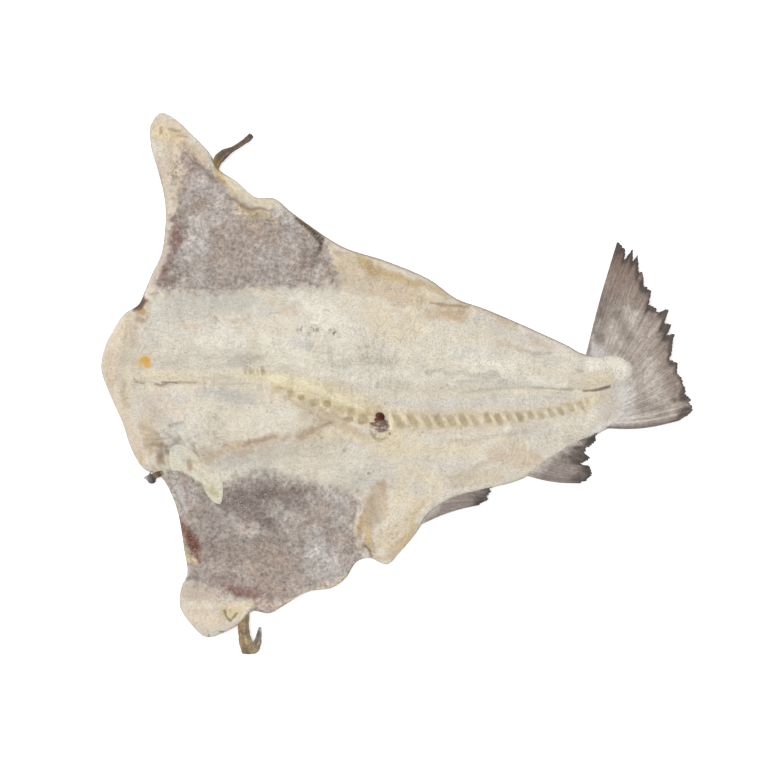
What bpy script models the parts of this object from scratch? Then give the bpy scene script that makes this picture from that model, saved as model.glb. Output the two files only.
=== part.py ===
"""A salted, dried cod: headless, split from the belly and laid open on its skin, flesh side up.

+X runs to the tail and +Z is up. The origin is the middle of the ground that the fish covers, and the
underside rests on Z = 0. Plan sizes below are in millimetres; a mesh turns them into metres.

The flesh is one sheet between an underside and a top, over a smooth outline. Its thickness is a thin
belly wall with named ridges and grooves on it. The fins are fans and strips of rays, joined on.
"""

import math

import bpy
import numpy as np
from mathutils import Vector
from mathutils.geometry import delaunay_2d_cdt

MM = 0.001

# Plan outline of the flesh, clockwise seen from above, in named stretches of (x, y).
HEAD_END_UPPER = [(-300, 16), (-297, 37), (-289, 54), (-278, 72), (-263, 82), (-257, 95), (-249, 114)]
UPPER_FLAP_FRONT = [(-240, 133), (-236, 160), (-236, 188), (-242, 216), (-249, 242), (-249, 262), (-239, 275)]
UPPER_FLAP_BACK = [(-226, 270), (-206, 252), (-190, 235), (-182, 220), (-162, 206), (-144, 191), (-124, 189)]
UPPER_FLANK = [(-108, 176), (-67, 147), (-50, 138), (-12, 126), (33, 107), (60, 88), (90, 77), (130, 60)]
TAIL_LOBES = [(170, 42), (192, 31), (228, 30), (240, 23), (240, 9), (231, 1), (235, -14), (230, -34), (208, -48)]
LOWER_FLANK = [(180, -61), (152, -78), (128, -95), (90, -106), (55, -116), (32, -132), (20, -150)]
BELLY_NUB = [(2, -171), (-10, -182), (-28, -176), (-41, -180), (-52, -196), (-66, -206)]
LOWER_FLAP_BACK = [(-90, -210), (-112, -222), (-130, -232), (-147, -230), (-158, -241), (-176, -251), (-193, -255)]
LOWER_FLAP_FRONT = [(-208, -243), (-220, -225), (-219, -206), (-213, -191), (-217, -165), (-223, -130)]
HEAD_END_LOWER = [(-231, -108), (-241, -93), (-258, -85), (-270, -66), (-279, -38), (-292, -8)]
OUTLINE = (
    HEAD_END_UPPER
    + UPPER_FLAP_FRONT
    + UPPER_FLAP_BACK
    + UPPER_FLANK
    + TAIL_LOBES
    + LOWER_FLANK
    + BELLY_NUB
    + LOWER_FLAP_BACK
    + LOWER_FLAP_FRONT
    + HEAD_END_LOWER
)

# Thickness of the sheet.
BELLY_WALL = 4.2  # the thin wall everywhere, before ridges
EDGE_ROUND = 5.0  # how far in the rounded edge reaches
EDGE_SHARE = 0.4  # where the edge line lies between the underside and the top
THINNEST = 1.8  # the least left, over the hollow too

# Ridges: crest points of (x, y, half width, height), each fading to nothing at its half width.
RIDGES = {
    "upper_loin": [(-282, 42, 30, 7), (-240, 47, 48, 15), (-150, 52, 56, 18), (-60, 50, 56, 18), (60, 32, 48, 15),
                   (160, 16, 28, 9), (226, 15, 15, 4)],
    "lower_loin": [(-272, -30, 30, 6), (-230, -32, 46, 13), (-150, -40, 54, 16), (-60, -62, 52, 15), (40, -66, 44, 12),
                   (130, -52, 32, 9), (200, -30, 18, 5)],
    "upper_back": [(-70, 108, 26, 3), (0, 92, 34, 6), (80, 58, 28, 4), (150, 36, 20, 3)],
    "lower_belly": [(-45, -150, 18, 3), (-12, -152, 26, 6), (25, -112, 30, 6), (110, -82, 26, 3)],
    "upper_rim": [(-250, 100, 10, 2), (-226, 140, 9, 2), (-226, 190, 9, 2), (-238, 245, 14, 4), (-226, 255, 12, 3),
                  (-190, 220, 9, 2), (-140, 182, 11, 4)],
    "upper_fold": [(-165, 200, 8, 2), (-150, 183, 11, 4), (-128, 172, 10, 4), (-100, 158, 9, 3), (-78, 130, 9, 3)],
    "lower_rim": [(-228, -120, 9, 2), (-213, -180, 9, 2), (-206, -232, 16, 5), (-175, -240, 14, 4), (-130, -222, 9, 2),
                  (-60, -198, 8, 2)],
    "nub_rim": [(-42, -172, 9, 3), (-10, -170, 12, 4), (14, -148, 10, 2)],
    "head_rim": [(-262, 68, 15, 4), (-284, 36, 16, 5), (-288, 10, 14, 4), (-268, -48, 14, 4), (-250, -74, 13, 3)],
    "backbone": [(-128, 5, 7, 3), (-108, -2, 9, 5), (-75, -20, 10, 6), (-48, -30, 9, 6), (-20, -37, 8, 5)],
    "slit_lip": [(-256, 8, 7, 2), (-200, 9, 8, 3), (-130, 12, 8, 1)],
    "tongue": [(-226, -74, 8, 2), (-205, -92, 9, 3), (-186, -108, 8, 2)],
    "vertebrae": [(-6, -36, 12, 2), (60, -36, 12, 2), (140, -30, 9, 2), (206, -14, 7, 1)],
}
GROOVES = {
    "midline_slit": [(-262, 2, 4, 3), (-235, 1, 6, 6), (-190, 2, 6, 6), (-130, 3, 6, 3)],
    "backbone_side": [(-112, -14, 6, 3), (-75, -33, 6, 4), (-34, -47, 6, 3)],
    "seam": [(-185, -60, 6, 1), (-150, -60, 6, 2), (-98, -49, 6, 2), (-62, -37, 6, 1)],
    "tail_seam": [(120, -8, 6, 1), (165, -5, 7, 3), (205, -4, 7, 4), (232, 1, 6, 3)],
    "head_notch": [(-264, 79, 6, 3), (-256, 82, 5, 2)],
    "tongue_hollow": [(-213, -78, 6, 3), (-206, -82, 6, 3)],
}

# Belly lining: bare wall, sunk below the flesh that borders it.
LINING_SUNK = 2.0
LINING_STEP = 6.0  # width of the slope at its border
REGION_STEP = 6.0
UPPER_LINING = [(-246, 101), (-232, 128), (-224, 150), (-224, 190), (-230, 220), (-212, 240), (-196, 222),
                (-168, 200), (-154, 182), (-130, 166), (-104, 164), (-84, 148), (-72, 130), (-62, 104),
                (-110, 98), (-180, 98)]
LOWER_LINING = [(-234, -86), (-224, -122), (-208, -150), (-212, -192), (-190, -214), (-140, -218), (-110, -210),
                (-62, -192), (-40, -166), (-42, -140), (-32, -112), (-60, -100), (-100, -96), (-150, -96),
                (-190, -104), (-216, -88)]

# Caudal vertebrae: slanting ribs across the bony band that is left toward the tail.
VERTEBRA_LINE = [(-4, -36), (40, -36), (100, -34), (140, -30), (170, -25), (206, -13)]
VERTEBRA_FIRST = 13.0  # spacing at the cut
VERTEBRA_LAST = 8.5  # spacing at the tail
RIB_HALF_LENGTH = (9.0, 4.5)
RIB_SLANT = math.radians(118)
RIB_HALF_WIDTH = 3.6
RIB_HEIGHT = 1.5

# Underside: where the drying sheet has curled up off the ground, as crests of (x, y, half width, lift).
LIFTS = {
    "upper_flap_tip": [(-246, 268, 75, 14), (-236, 200, 34, 5)],
    "lower_flap_tip": [(-192, -250, 68, 11), (-216, -190, 30, 4)],
    "head_end": [(-296, 50, 34, 5), (-298, 15, 30, 6), (-284, -40, 30, 4)],
    "upper_flank": [(-190, 232, 26, 5), (-110, 178, 28, 6), (-20, 130, 30, 7), (60, 90, 22, 4), (130, 60, 16, 3)],
    "belly_nub": [(-8, -182, 34, 6)],
    "lower_flap_back": [(-60, -205, 24, 4), (-120, -226, 26, 5)],
    "lower_flank": [(40, -126, 20, 3), (100, -104, 20, 3), (170, -66, 18, 3)],
    "tail_tip": [(205, -4, 12, 1), (292, 20, 60, 7), (236, 140, 60, 9), (302, -20, 50, 6)],
}
BACK_HOLLOW = [(-250, 2, 9, 1.5), (-60, 0, 12, 2), (80, -6, 12, 2), (200, -6, 7, 1.5)]

# Fans of fin rays: root and tip curves run the same way round, a ray joining each pair of points.
# bulge is how far the first and the last ray bow outward, and torn how far each ray's tip is broken back.
TAIL_FIN = {
    "root": [(191, 25), (208, 18), (216, 4), (217, -12), (214, -28), (212, -44)],
    "tips": [(224, 146), (239, 139), (246, 132), (249, 116), (259, 98), (260, 87), (267, 79), (277, 77), (277, 62),
             (282, 52), (280, 38), (284, 24), (289, 10), (296, -8), (301, -20), (298, -31), (287, -37)],
    "bulge": (1, 4),
    "torn": (0, 9, 0, 0, 0, 0, 4, 3, 0, 4, 0, 0, 5, 0, 0, 1, 1, 4, 1, 1, 0, 1, 0, 0, 0, 0, 0),
    "notch": 3.0,
}
REAR_ANAL_FIN = {
    "root": [(203, -43), (184, -53), (162, -64), (140, -80), (128, -91)],
    "tips": [(205, -51), (199, -64), (197, -76), (200, -92), (193, -100)],
    "bulge": (0, 3),
    "torn": (0, 1, 1, 5, 3, 8, 3, 0, 1, 0, 0, 0, 0),
    "notch": 2.5,
}
FRONT_ANAL_FIN = {
    "root": [(96, -98), (75, -102), (56, -109), (40, -120), (21, -144)],
    "tips": [(99, -105), (97, -110), (94, -115), (90, -120)],
    "bulge": (0, -3),
    "torn": (0, 0, 2, 0, 1, 3, 0, 1, 0, 0),
    "notch": 2.0,
}
FIN_GAP = 0.3  # between the ground and the thickest rays
FIN_ROOT_THICK = 3.4
FIN_TIP_THICK = 1.9
SKIN_THINNER = 0.6  # how much thinner the skin between two rays is
RAY_STEPS = 5

# Narrow folded fins: centre lines of (x, y, half width, height of the middle above the ground).
UPPER_PELVIC = [(-198, 216, 6, 7), (-186, 225, 7, 8), (-175, 235, 5, 9), (-161, 244, 5, 9), (-149, 253, 4, 8)]
LOWER_PELVIC = [(-155, -226, 5.5, 11), (-156, -245, 6, 9), (-155, -259, 6.5, 7), (-151, -269, 5.5, 6)]
LOWER_PELVIC_HOOK = [(-153, -262, 3, 5.5), (-148, -269, 5, 5), (-143.5, -262, 4, 4.6), (-141.5, -252, 3, 5),
                     (-141, -242, 2, 5.4)]
PECTORAL_TIP = [(-240, -84, 6, 5), (-248, -92, 6, 4), (-254, -95, 4, 4)]
STRIP_THICK = 4.0
STRIP_STEP = 5.0
STRIP_SIDES = 8

# Mesh density.
OUTLINE_STEP = 2.0
SHOULDER_SHARE = 0.3  # where the row of points on the rounded edge lies
EDGE_STEP = 6.5
TOP_STEP = 10.5
UNDER_STEP = 17.0
FINE_STEP = 4.4
FINE_RIDGES = ("backbone",)
FINE_GROOVES = ("midline_slit", "backbone_side", "tail_seam")

# Colours: linear RGB.
FLESH_COLOUR = (0.66, 0.61, 0.50, 1.0)
SKIN_COLOUR = (0.26, 0.24, 0.20, 1.0)
FIN_COLOUR = (0.24, 0.20, 0.17, 1.0)
DRY_ROUGHNESS = 0.78
SEED = 8


# Curves and fields over the plan.


def smooth_curve(points, step, closed=False):
    """Points about one step apart along a centripetal Catmull-Rom curve, with any columns after x and y."""
    p = np.asarray(points, float)
    if len(p) == 1:
        return p
    if closed:
        p = np.vstack([p[-1], p, p[:2]])
    else:
        p = np.vstack([2 * p[0] - p[1], p, 2 * p[-1] - p[-2]])
    knots = np.concatenate([[0], np.cumsum(np.sqrt(np.linalg.norm(np.diff(p[:, :2], axis=0), axis=1)))])
    made = []
    for i in range(1, len(p) - 2):
        t0, t1, t2, t3 = knots[i - 1 : i + 3]
        count = max(1, round(np.linalg.norm(p[i + 1, :2] - p[i, :2]) / step))
        for t in np.linspace(t1, t2, count, endpoint=False):
            a1 = p[i - 1] + (p[i] - p[i - 1]) * (t - t0) / (t1 - t0)
            a2 = p[i] + (p[i + 1] - p[i]) * (t - t1) / (t2 - t1)
            a3 = p[i + 1] + (p[i + 2] - p[i + 1]) * (t - t2) / (t3 - t2)
            b1 = a1 + (a2 - a1) * (t - t0) / (t2 - t0)
            b2 = a2 + (a3 - a2) * (t - t1) / (t3 - t1)
            made.append(b1 + (b2 - b1) * (t - t1) / (t2 - t1))
    if not closed:
        made.append(p[-2])
    return np.array(made)


def along(curve, shares):
    """The points at these shares of the curve's length."""
    length = np.concatenate([[0], np.cumsum(np.linalg.norm(np.diff(curve[:, :2], axis=0), axis=1))])
    return np.stack([np.interp(shares, length / length[-1], column) for column in curve.T], axis=1)


def edge_distance(xy, loop):
    """Distance from each point to the closed loop, positive inside it."""
    nearest = np.full(len(xy), np.inf)
    inside = np.zeros(len(xy), bool)
    for a, b in zip(loop, np.roll(loop, -1, axis=0)):
        run = b - a
        share = np.clip(((xy - a) @ run) / (run @ run), 0, 1)
        nearest = np.minimum(nearest, np.linalg.norm(xy - a - share[:, None] * run, axis=1))
        if a[1] != b[1]:
            crosses = (a[1] > xy[:, 1]) != (b[1] > xy[:, 1])
            inside ^= crosses & (xy[:, 0] < a[0] + run[0] * (xy[:, 1] - a[1]) / run[1])
    return np.where(inside, nearest, -nearest)


def ridge(xy, crest):
    """Height of one rounded ridge over each point."""
    narrowest = min(row[2] for row in crest)
    height = np.zeros(len(xy))
    for x, y, half_width, top in smooth_curve(crest, narrowest / 3):
        share = ((xy[:, 0] - x) ** 2 + (xy[:, 1] - y) ** 2) / half_width**2
        height = np.maximum(height, top * np.clip(1 - share, 0, 1) ** 2)
    return height


def smooth_step(value):
    value = np.clip(value, 0, 1)
    return value * value * (3 - 2 * value)


def vertebra_centres():
    """Centre and share of the way along for each rib, closing up toward the tail."""
    line = smooth_curve(VERTEBRA_LINE, 2.0)
    total = np.linalg.norm(np.diff(line, axis=0), axis=1).sum()
    centres = []
    run = 0.0
    while run < total:
        share = run / total
        centres.append((*along(line, [share])[0], share))
        run += VERTEBRA_FIRST + (VERTEBRA_LAST - VERTEBRA_FIRST) * share
    return centres


def ribs(xy):
    """Height of the slanting ribs over each point."""
    height = np.zeros(len(xy))
    for x, y, share in vertebra_centres():
        half = RIB_HALF_LENGTH[0] + (RIB_HALF_LENGTH[1] - RIB_HALF_LENGTH[0]) * share
        lengthwise = (xy[:, 0] - x) * math.cos(RIB_SLANT) + (xy[:, 1] - y) * math.sin(RIB_SLANT)
        sideways = (xy[:, 0] - x) * math.sin(RIB_SLANT) - (xy[:, 1] - y) * math.cos(RIB_SLANT)
        share_out = (lengthwise / half) ** 2 + (sideways / RIB_HALF_WIDTH) ** 2
        height = np.maximum(height, RIB_HEIGHT * np.clip(1 - share_out, 0, 1))
    return height


def ground_lift(xy):
    """Height of the skin side above the ground."""
    return sum(ridge(xy, crest) for crest in LIFTS.values())


def thickness(xy):
    """Full thickness of the flesh, before its edge is rounded."""
    full = BELLY_WALL + sum(ridge(xy, crest) for crest in RIDGES.values()) + ribs(xy)
    full -= sum(ridge(xy, crest) for crest in GROOVES.values())
    for region in (UPPER_LINING, LOWER_LINING):
        border = edge_distance(xy, smooth_curve(region, REGION_STEP, closed=True))
        full -= LINING_SUNK * smooth_step(border / LINING_STEP)
    return full


def flesh_surfaces(xy, outline):
    """Heights of the underside and the top, with the rounded edge between them."""
    inward = np.clip(edge_distance(xy, outline) / EDGE_ROUND, 0, 1)
    rounding = np.sqrt(1 - (1 - inward) ** 2)
    lift = ground_lift(xy)
    hollow = ridge(xy, BACK_HOLLOW)
    full = np.maximum(thickness(xy), hollow + THINNEST)
    edge = lift + EDGE_SHARE * np.minimum(full, BELLY_WALL)
    under = edge + (lift + hollow - edge) * rounding
    return under, edge + (lift + full - edge) * rounding


# Meshes.


def hex_grid(step, low, high):
    """Rows of points one step apart, every other row moved half a step."""
    rows = np.arange(low[1], high[1], step * math.sqrt(3) / 2)
    made = []
    for i, y in enumerate(rows):
        x = np.arange(low[0] + (i % 2) * step / 2, high[0], step)
        made.append(np.stack([x, np.full(len(x), y)], axis=1))
    return np.vstack(made)


def spread(groups):
    """Points of all the groups of (points, room), leaving out any that crowds a point taken before it."""
    taken = np.empty((0, 2))
    for points, room in groups:
        for point in points:
            if len(taken) == 0 or ((taken - point) ** 2).sum(axis=1).min() > room**2:
                taken = np.vstack([taken, point])
    return taken


def fine_points():
    """Rows of points along the narrow relief, so that the coarse grid doesn't lose it."""
    crests = [RIDGES[name] for name in FINE_RIDGES] + [GROOVES[name] for name in FINE_GROOVES]
    made = []
    for crest in crests:
        line = smooth_curve(crest, FINE_STEP)
        run = np.gradient(line[:, :2], axis=0)
        side = np.stack([-run[:, 1], run[:, 0]], axis=1) / np.linalg.norm(run, axis=1)[:, None]
        for share in (0, -0.5, 0.5, -1, 1):
            made.append(line[:, :2] + side * line[:, 2:3] * share)
    for x, y, share in vertebra_centres():
        half = RIB_HALF_LENGTH[0] + (RIB_HALF_LENGTH[1] - RIB_HALF_LENGTH[0]) * share
        lengthwise = np.array([math.cos(RIB_SLANT), math.sin(RIB_SLANT)])
        sideways = np.array([math.sin(RIB_SLANT), -math.cos(RIB_SLANT)])
        for out in (0, -1, 1):
            for part in (-0.95, -0.35, 0.35, 0.95):
                made.append([np.array([x, y]) + lengthwise * half * part + sideways * RIB_HALF_WIDTH * out])
    return np.vstack(made)


def triangles_over(outline, inner):
    """Points and triangles, anticlockwise from above, that fill the outline through the inner points."""
    points = [Vector(p) for p in np.vstack([outline, inner])]
    count = len(outline)
    loop = [(i, (i + 1) % count) for i in range(count)]
    made, _, faces, *_ = delaunay_2d_cdt(points, loop, [], 1, 1e-5)
    made = np.array([tuple(p) for p in made])
    faces = np.array(faces)
    a, b, c = (made[faces[:, k]] for k in range(3))
    area = (b[:, 0] - a[:, 0]) * (c[:, 1] - a[:, 1]) - (b[:, 1] - a[:, 1]) * (c[:, 0] - a[:, 0])
    faces[area < 0] = faces[area < 0][:, ::-1]
    return made, faces


def add_object(name, points, faces, materials, slots=None):
    """One named mesh object from points in millimetres."""
    mesh = bpy.data.meshes.new(name)
    mesh.from_pydata([tuple(p * MM) for p in np.asarray(points, float)], [], [tuple(map(int, f)) for f in faces])
    for material in materials:
        mesh.materials.append(material)
    if slots is not None:
        mesh.polygons.foreach_set("material_index", slots)
    mesh.shade_smooth()
    mesh.validate()
    mesh.update()
    made = bpy.data.objects.new(name, mesh)
    bpy.context.scene.collection.objects.link(made)
    return made


def offset_inward(line, distance):
    """The closed clockwise line moved inward by a distance."""
    run = np.roll(line, -1, axis=0) - np.roll(line, 1, axis=0)
    inward = np.stack([run[:, 1], -run[:, 0]], axis=1) / np.linalg.norm(run, axis=1)[:, None]
    return line + inward * distance


def make_flesh(materials):
    """The split body: a top and an underside that share the edge line."""
    outline = smooth_curve(OUTLINE, EDGE_STEP, closed=True)
    fine_line = smooth_curve(OUTLINE, OUTLINE_STEP, closed=True)
    low, high = outline.min(axis=0), outline.max(axis=0)

    def kept(points, room):
        return points[edge_distance(points, fine_line) > room]

    shoulder = kept(offset_inward(outline, SHOULDER_SHARE * EDGE_ROUND), 0.7 * SHOULDER_SHARE * EDGE_ROUND)
    ring = kept(offset_inward(outline, EDGE_ROUND), 0.8 * EDGE_ROUND)
    top_inner = spread(
        [
            (shoulder, 0.25 * EDGE_STEP),
            (kept(fine_points(), EDGE_ROUND), 0.55 * FINE_STEP),
            (ring, 0.5 * EDGE_STEP),
            (kept(hex_grid(TOP_STEP, low, high), EDGE_ROUND + 0.35 * TOP_STEP), 0.55 * TOP_STEP),
        ]
    )
    under_inner = spread(
        [
            (shoulder[::2], 0.25 * EDGE_STEP),
            (ring[::2], 0.8 * EDGE_STEP),
            (kept(hex_grid(UNDER_STEP, low, high), EDGE_ROUND + 0.4 * UNDER_STEP), 0.5 * UNDER_STEP),
        ]
    )
    top_plan, top_faces = triangles_over(outline, top_inner)
    under_plan, under_faces = triangles_over(outline, under_inner)
    count = len(outline)
    _, top_z = flesh_surfaces(top_plan, fine_line)
    under_z, _ = flesh_surfaces(under_plan, fine_line)
    top_z[:count], _ = flesh_surfaces(outline, fine_line)
    top = np.column_stack([top_plan, top_z])
    under = np.column_stack([under_plan, under_z])[count:]
    under_faces = np.where(under_faces < count, under_faces, under_faces + len(top) - count)[:, ::-1]
    slots = [0] * len(top_faces) + [1] * len(under_faces)
    return add_object("split_cod", np.vstack([top, under]), np.vstack([top_faces, under_faces]), materials, slots)


def ray_lines(fin, rng):
    """Plan points of each ray and of the skin between rays, step by step, and which columns are skin."""
    columns = 2 * len(fin["torn"]) - 1
    shares = np.linspace(0, 1, columns)
    start = along(smooth_curve(fin["root"], OUTLINE_STEP), shares)
    end = along(smooth_curve(fin["tips"], OUTLINE_STEP), shares)
    is_skin = np.arange(columns) % 2 == 1
    torn = np.interp(shares, shares[::2], fin["torn"])
    torn = torn + is_skin * fin["notch"] * rng.uniform(0.4, 1.0, columns)
    run = end - start
    length = np.linalg.norm(run, axis=1)
    outward = np.stack([-run[:, 1], run[:, 0]], axis=1) / length[:, None]
    bow = fin["bulge"][0] * (1 - shares) - fin["bulge"][1] * shares
    lines = []
    for step in range(RAY_STEPS + 1):
        share = step / RAY_STEPS * (1 - torn / length)
        lines.append(start + run * share[:, None] + outward * (bow * np.sin(math.pi * share))[:, None])
    return np.array(lines), is_skin


def make_fan(name, fin, material, rng):
    """A fan of rays with thinner skin between them and a torn margin."""
    lines, is_skin = ray_lines(fin, rng)
    columns = len(is_skin)
    points = []
    for side in (1, -1):
        for step, xy in enumerate(lines):
            share = step / RAY_STEPS
            thick = FIN_ROOT_THICK + (FIN_TIP_THICK - FIN_ROOT_THICK) * share - is_skin * SKIN_THINNER
            middle = ground_lift(xy) + FIN_GAP + FIN_ROOT_THICK / 2
            points.append(np.column_stack([xy, middle + side * thick / 2]))
    layer = columns * (RAY_STEPS + 1)
    faces = []
    for step in range(RAY_STEPS):
        for column in range(columns - 1):
            a = step * columns + column
            quad = (a, a + columns, a + columns + 1, a + 1)
            faces.append(quad)
            faces.append(tuple(layer + k for k in reversed(quad)))
    border = list(range(columns))
    border += [columns - 1 + columns * k for k in range(1, RAY_STEPS + 1)]
    border += [RAY_STEPS * columns + k for k in range(columns - 2, -1, -1)]
    border += [columns * k for k in range(RAY_STEPS - 1, 0, -1)]
    for a, b in zip(border, border[1:] + border[:1]):
        faces.append((a, b, layer + b, layer + a))
    return add_object(name, np.vstack(points), faces, [material])


def make_strip(name, rows, material):
    """A narrow folded fin: a flat oval swept along its centre line, with rounded ends."""
    line = smooth_curve(rows, STRIP_STEP)
    run = np.gradient(line[:, :2], axis=0)
    side = np.stack([-run[:, 1], run[:, 0]], axis=1) / np.linalg.norm(run, axis=1)[:, None]
    angles = np.arange(STRIP_SIDES) * 2 * math.pi / STRIP_SIDES
    points = []
    for (x, y, half_width, middle), out in zip(line, side):
        for angle in angles:
            reach = half_width * math.cos(angle)
            points.append((x + out[0] * reach, y + out[1] * reach, middle + STRIP_THICK / 2 * math.sin(angle)))
    faces = []
    for i in range(len(line) - 1):
        for k in range(STRIP_SIDES):
            a = i * STRIP_SIDES + k
            b = i * STRIP_SIDES + (k + 1) % STRIP_SIDES
            faces.append((a, b, b + STRIP_SIDES, a + STRIP_SIDES))
    for ring, sign in ((0, -1), (len(line) - 1, 1)):
        step = run[ring] / np.linalg.norm(run[ring]) * sign * line[ring, 2] * 0.7
        points.append((line[ring, 0] + step[0], line[ring, 1] + step[1], line[ring, 3]))
        for k in range(STRIP_SIDES):
            pair = (ring * STRIP_SIDES + k, ring * STRIP_SIDES + (k + 1) % STRIP_SIDES)
            faces.append((len(points) - 1, *(pair[::-1] if sign < 0 else pair)))
    return add_object(name, points, faces, [material])


def join(body, helper):
    """Unites a hidden helper with the body."""
    helper.hide_render = True
    helper.display_type = "WIRE"
    union = body.modifiers.new("join_" + helper.name, "BOOLEAN")
    union.operation = "UNION"
    union.use_self = True  # a tightly curled strip crosses itself
    union.object = helper


def make_material(name, colour):
    material = bpy.data.materials.new(name)
    material.use_nodes = True
    shader = material.node_tree.nodes["Principled BSDF"]
    shader.inputs["Base Color"].default_value = colour
    shader.inputs["Roughness"].default_value = DRY_ROUGHNESS
    shader.inputs["Metallic"].default_value = 0.0
    material.diffuse_color = colour
    return material


def main():
    for old in list(bpy.data.objects):
        bpy.data.objects.remove(old, do_unlink=True)
    rng = np.random.default_rng(SEED)
    flesh = make_material("salted_flesh", FLESH_COLOUR)
    skin = make_material("dry_skin", SKIN_COLOUR)
    fin = make_material("dry_fin", FIN_COLOUR)
    body = make_flesh([flesh, skin, fin])
    join(body, make_fan("tail_fin", TAIL_FIN, fin, rng))
    join(body, make_fan("rear_anal_fin", REAR_ANAL_FIN, fin, rng))
    join(body, make_fan("front_anal_fin", FRONT_ANAL_FIN, fin, rng))
    join(body, make_strip("upper_pelvic_fin", UPPER_PELVIC, fin))
    join(body, make_strip("lower_pelvic_fin", LOWER_PELVIC, fin))
    join(body, make_strip("lower_pelvic_hook", LOWER_PELVIC_HOOK, fin))
    join(body, make_strip("pectoral_tip", PECTORAL_TIP, fin))


main()
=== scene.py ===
import math

import bpy
import numpy as np
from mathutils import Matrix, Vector
from mathutils.geometry import delaunay_2d_cdt


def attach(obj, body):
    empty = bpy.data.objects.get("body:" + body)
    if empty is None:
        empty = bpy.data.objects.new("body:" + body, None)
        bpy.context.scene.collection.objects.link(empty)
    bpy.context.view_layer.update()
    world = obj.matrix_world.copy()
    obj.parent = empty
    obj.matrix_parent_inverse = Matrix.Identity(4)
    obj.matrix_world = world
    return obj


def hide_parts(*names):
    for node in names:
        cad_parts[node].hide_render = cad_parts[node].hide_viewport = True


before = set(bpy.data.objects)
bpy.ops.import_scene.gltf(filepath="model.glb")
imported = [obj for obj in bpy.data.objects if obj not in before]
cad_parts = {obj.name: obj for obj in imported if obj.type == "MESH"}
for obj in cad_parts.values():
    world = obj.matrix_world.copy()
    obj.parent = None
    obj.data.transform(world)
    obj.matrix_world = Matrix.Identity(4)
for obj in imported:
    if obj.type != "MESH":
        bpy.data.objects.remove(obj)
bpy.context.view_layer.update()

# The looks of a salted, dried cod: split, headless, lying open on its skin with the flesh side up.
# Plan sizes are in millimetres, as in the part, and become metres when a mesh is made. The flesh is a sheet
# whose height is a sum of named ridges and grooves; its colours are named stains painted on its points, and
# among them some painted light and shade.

BODY = "root"
NODE = "split_cod"
MM = 0.001
SEED = 8

# The plan outline, thickness, ridges, grooves and lifts are the part's own.
HEAD_END_UPPER = [(-300, 16), (-297, 37), (-289, 54), (-278, 72), (-263, 82), (-257, 95), (-249, 114)]
UPPER_FLAP_FRONT = [(-240, 133), (-236, 160), (-236, 188), (-242, 216), (-249, 242), (-249, 262),
                    (-239, 275)]
UPPER_FLAP_BACK = [(-226, 270), (-206, 252), (-190, 235), (-182, 220), (-162, 206), (-144, 191),
                   (-124, 189)]
UPPER_FLANK = [(-108, 176), (-67, 147), (-50, 138), (-12, 126), (33, 107), (60, 88), (90, 77), (130, 60)]
TAIL_LOBES = [(170, 42), (192, 31), (228, 30), (240, 23), (240, 9), (231, 1), (235, -14), (230, -34),
              (208, -48)]
LOWER_FLANK = [(180, -61), (152, -78), (128, -95), (90, -106), (55, -116), (32, -132), (20, -150)]
BELLY_NUB = [(2, -171), (-10, -182), (-28, -176), (-41, -180), (-52, -196), (-66, -206)]
LOWER_FLAP_BACK = [(-90, -210), (-112, -222), (-130, -232), (-147, -230), (-158, -241), (-176, -251),
                   (-193, -255)]
LOWER_FLAP_FRONT = [(-208, -243), (-220, -225), (-219, -206), (-213, -191), (-217, -165), (-223, -130)]
HEAD_END_LOWER = [(-231, -108), (-241, -93), (-258, -85), (-270, -66), (-279, -38), (-292, -8)]
OUTLINE = (
    HEAD_END_UPPER + UPPER_FLAP_FRONT + UPPER_FLAP_BACK + UPPER_FLANK + TAIL_LOBES
    + LOWER_FLANK + BELLY_NUB + LOWER_FLAP_BACK + LOWER_FLAP_FRONT + HEAD_END_LOWER
)

BELLY_WALL = 4.2  # thickness where no ridge lies on it
EDGE_ROUND = 5.0  # width over which it comes up from the edge to its full thickness
EDGE_SHARE = 0.4  # height of the edge itself, as a share of the belly wall's thickness
THINNEST = 1.8

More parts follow.
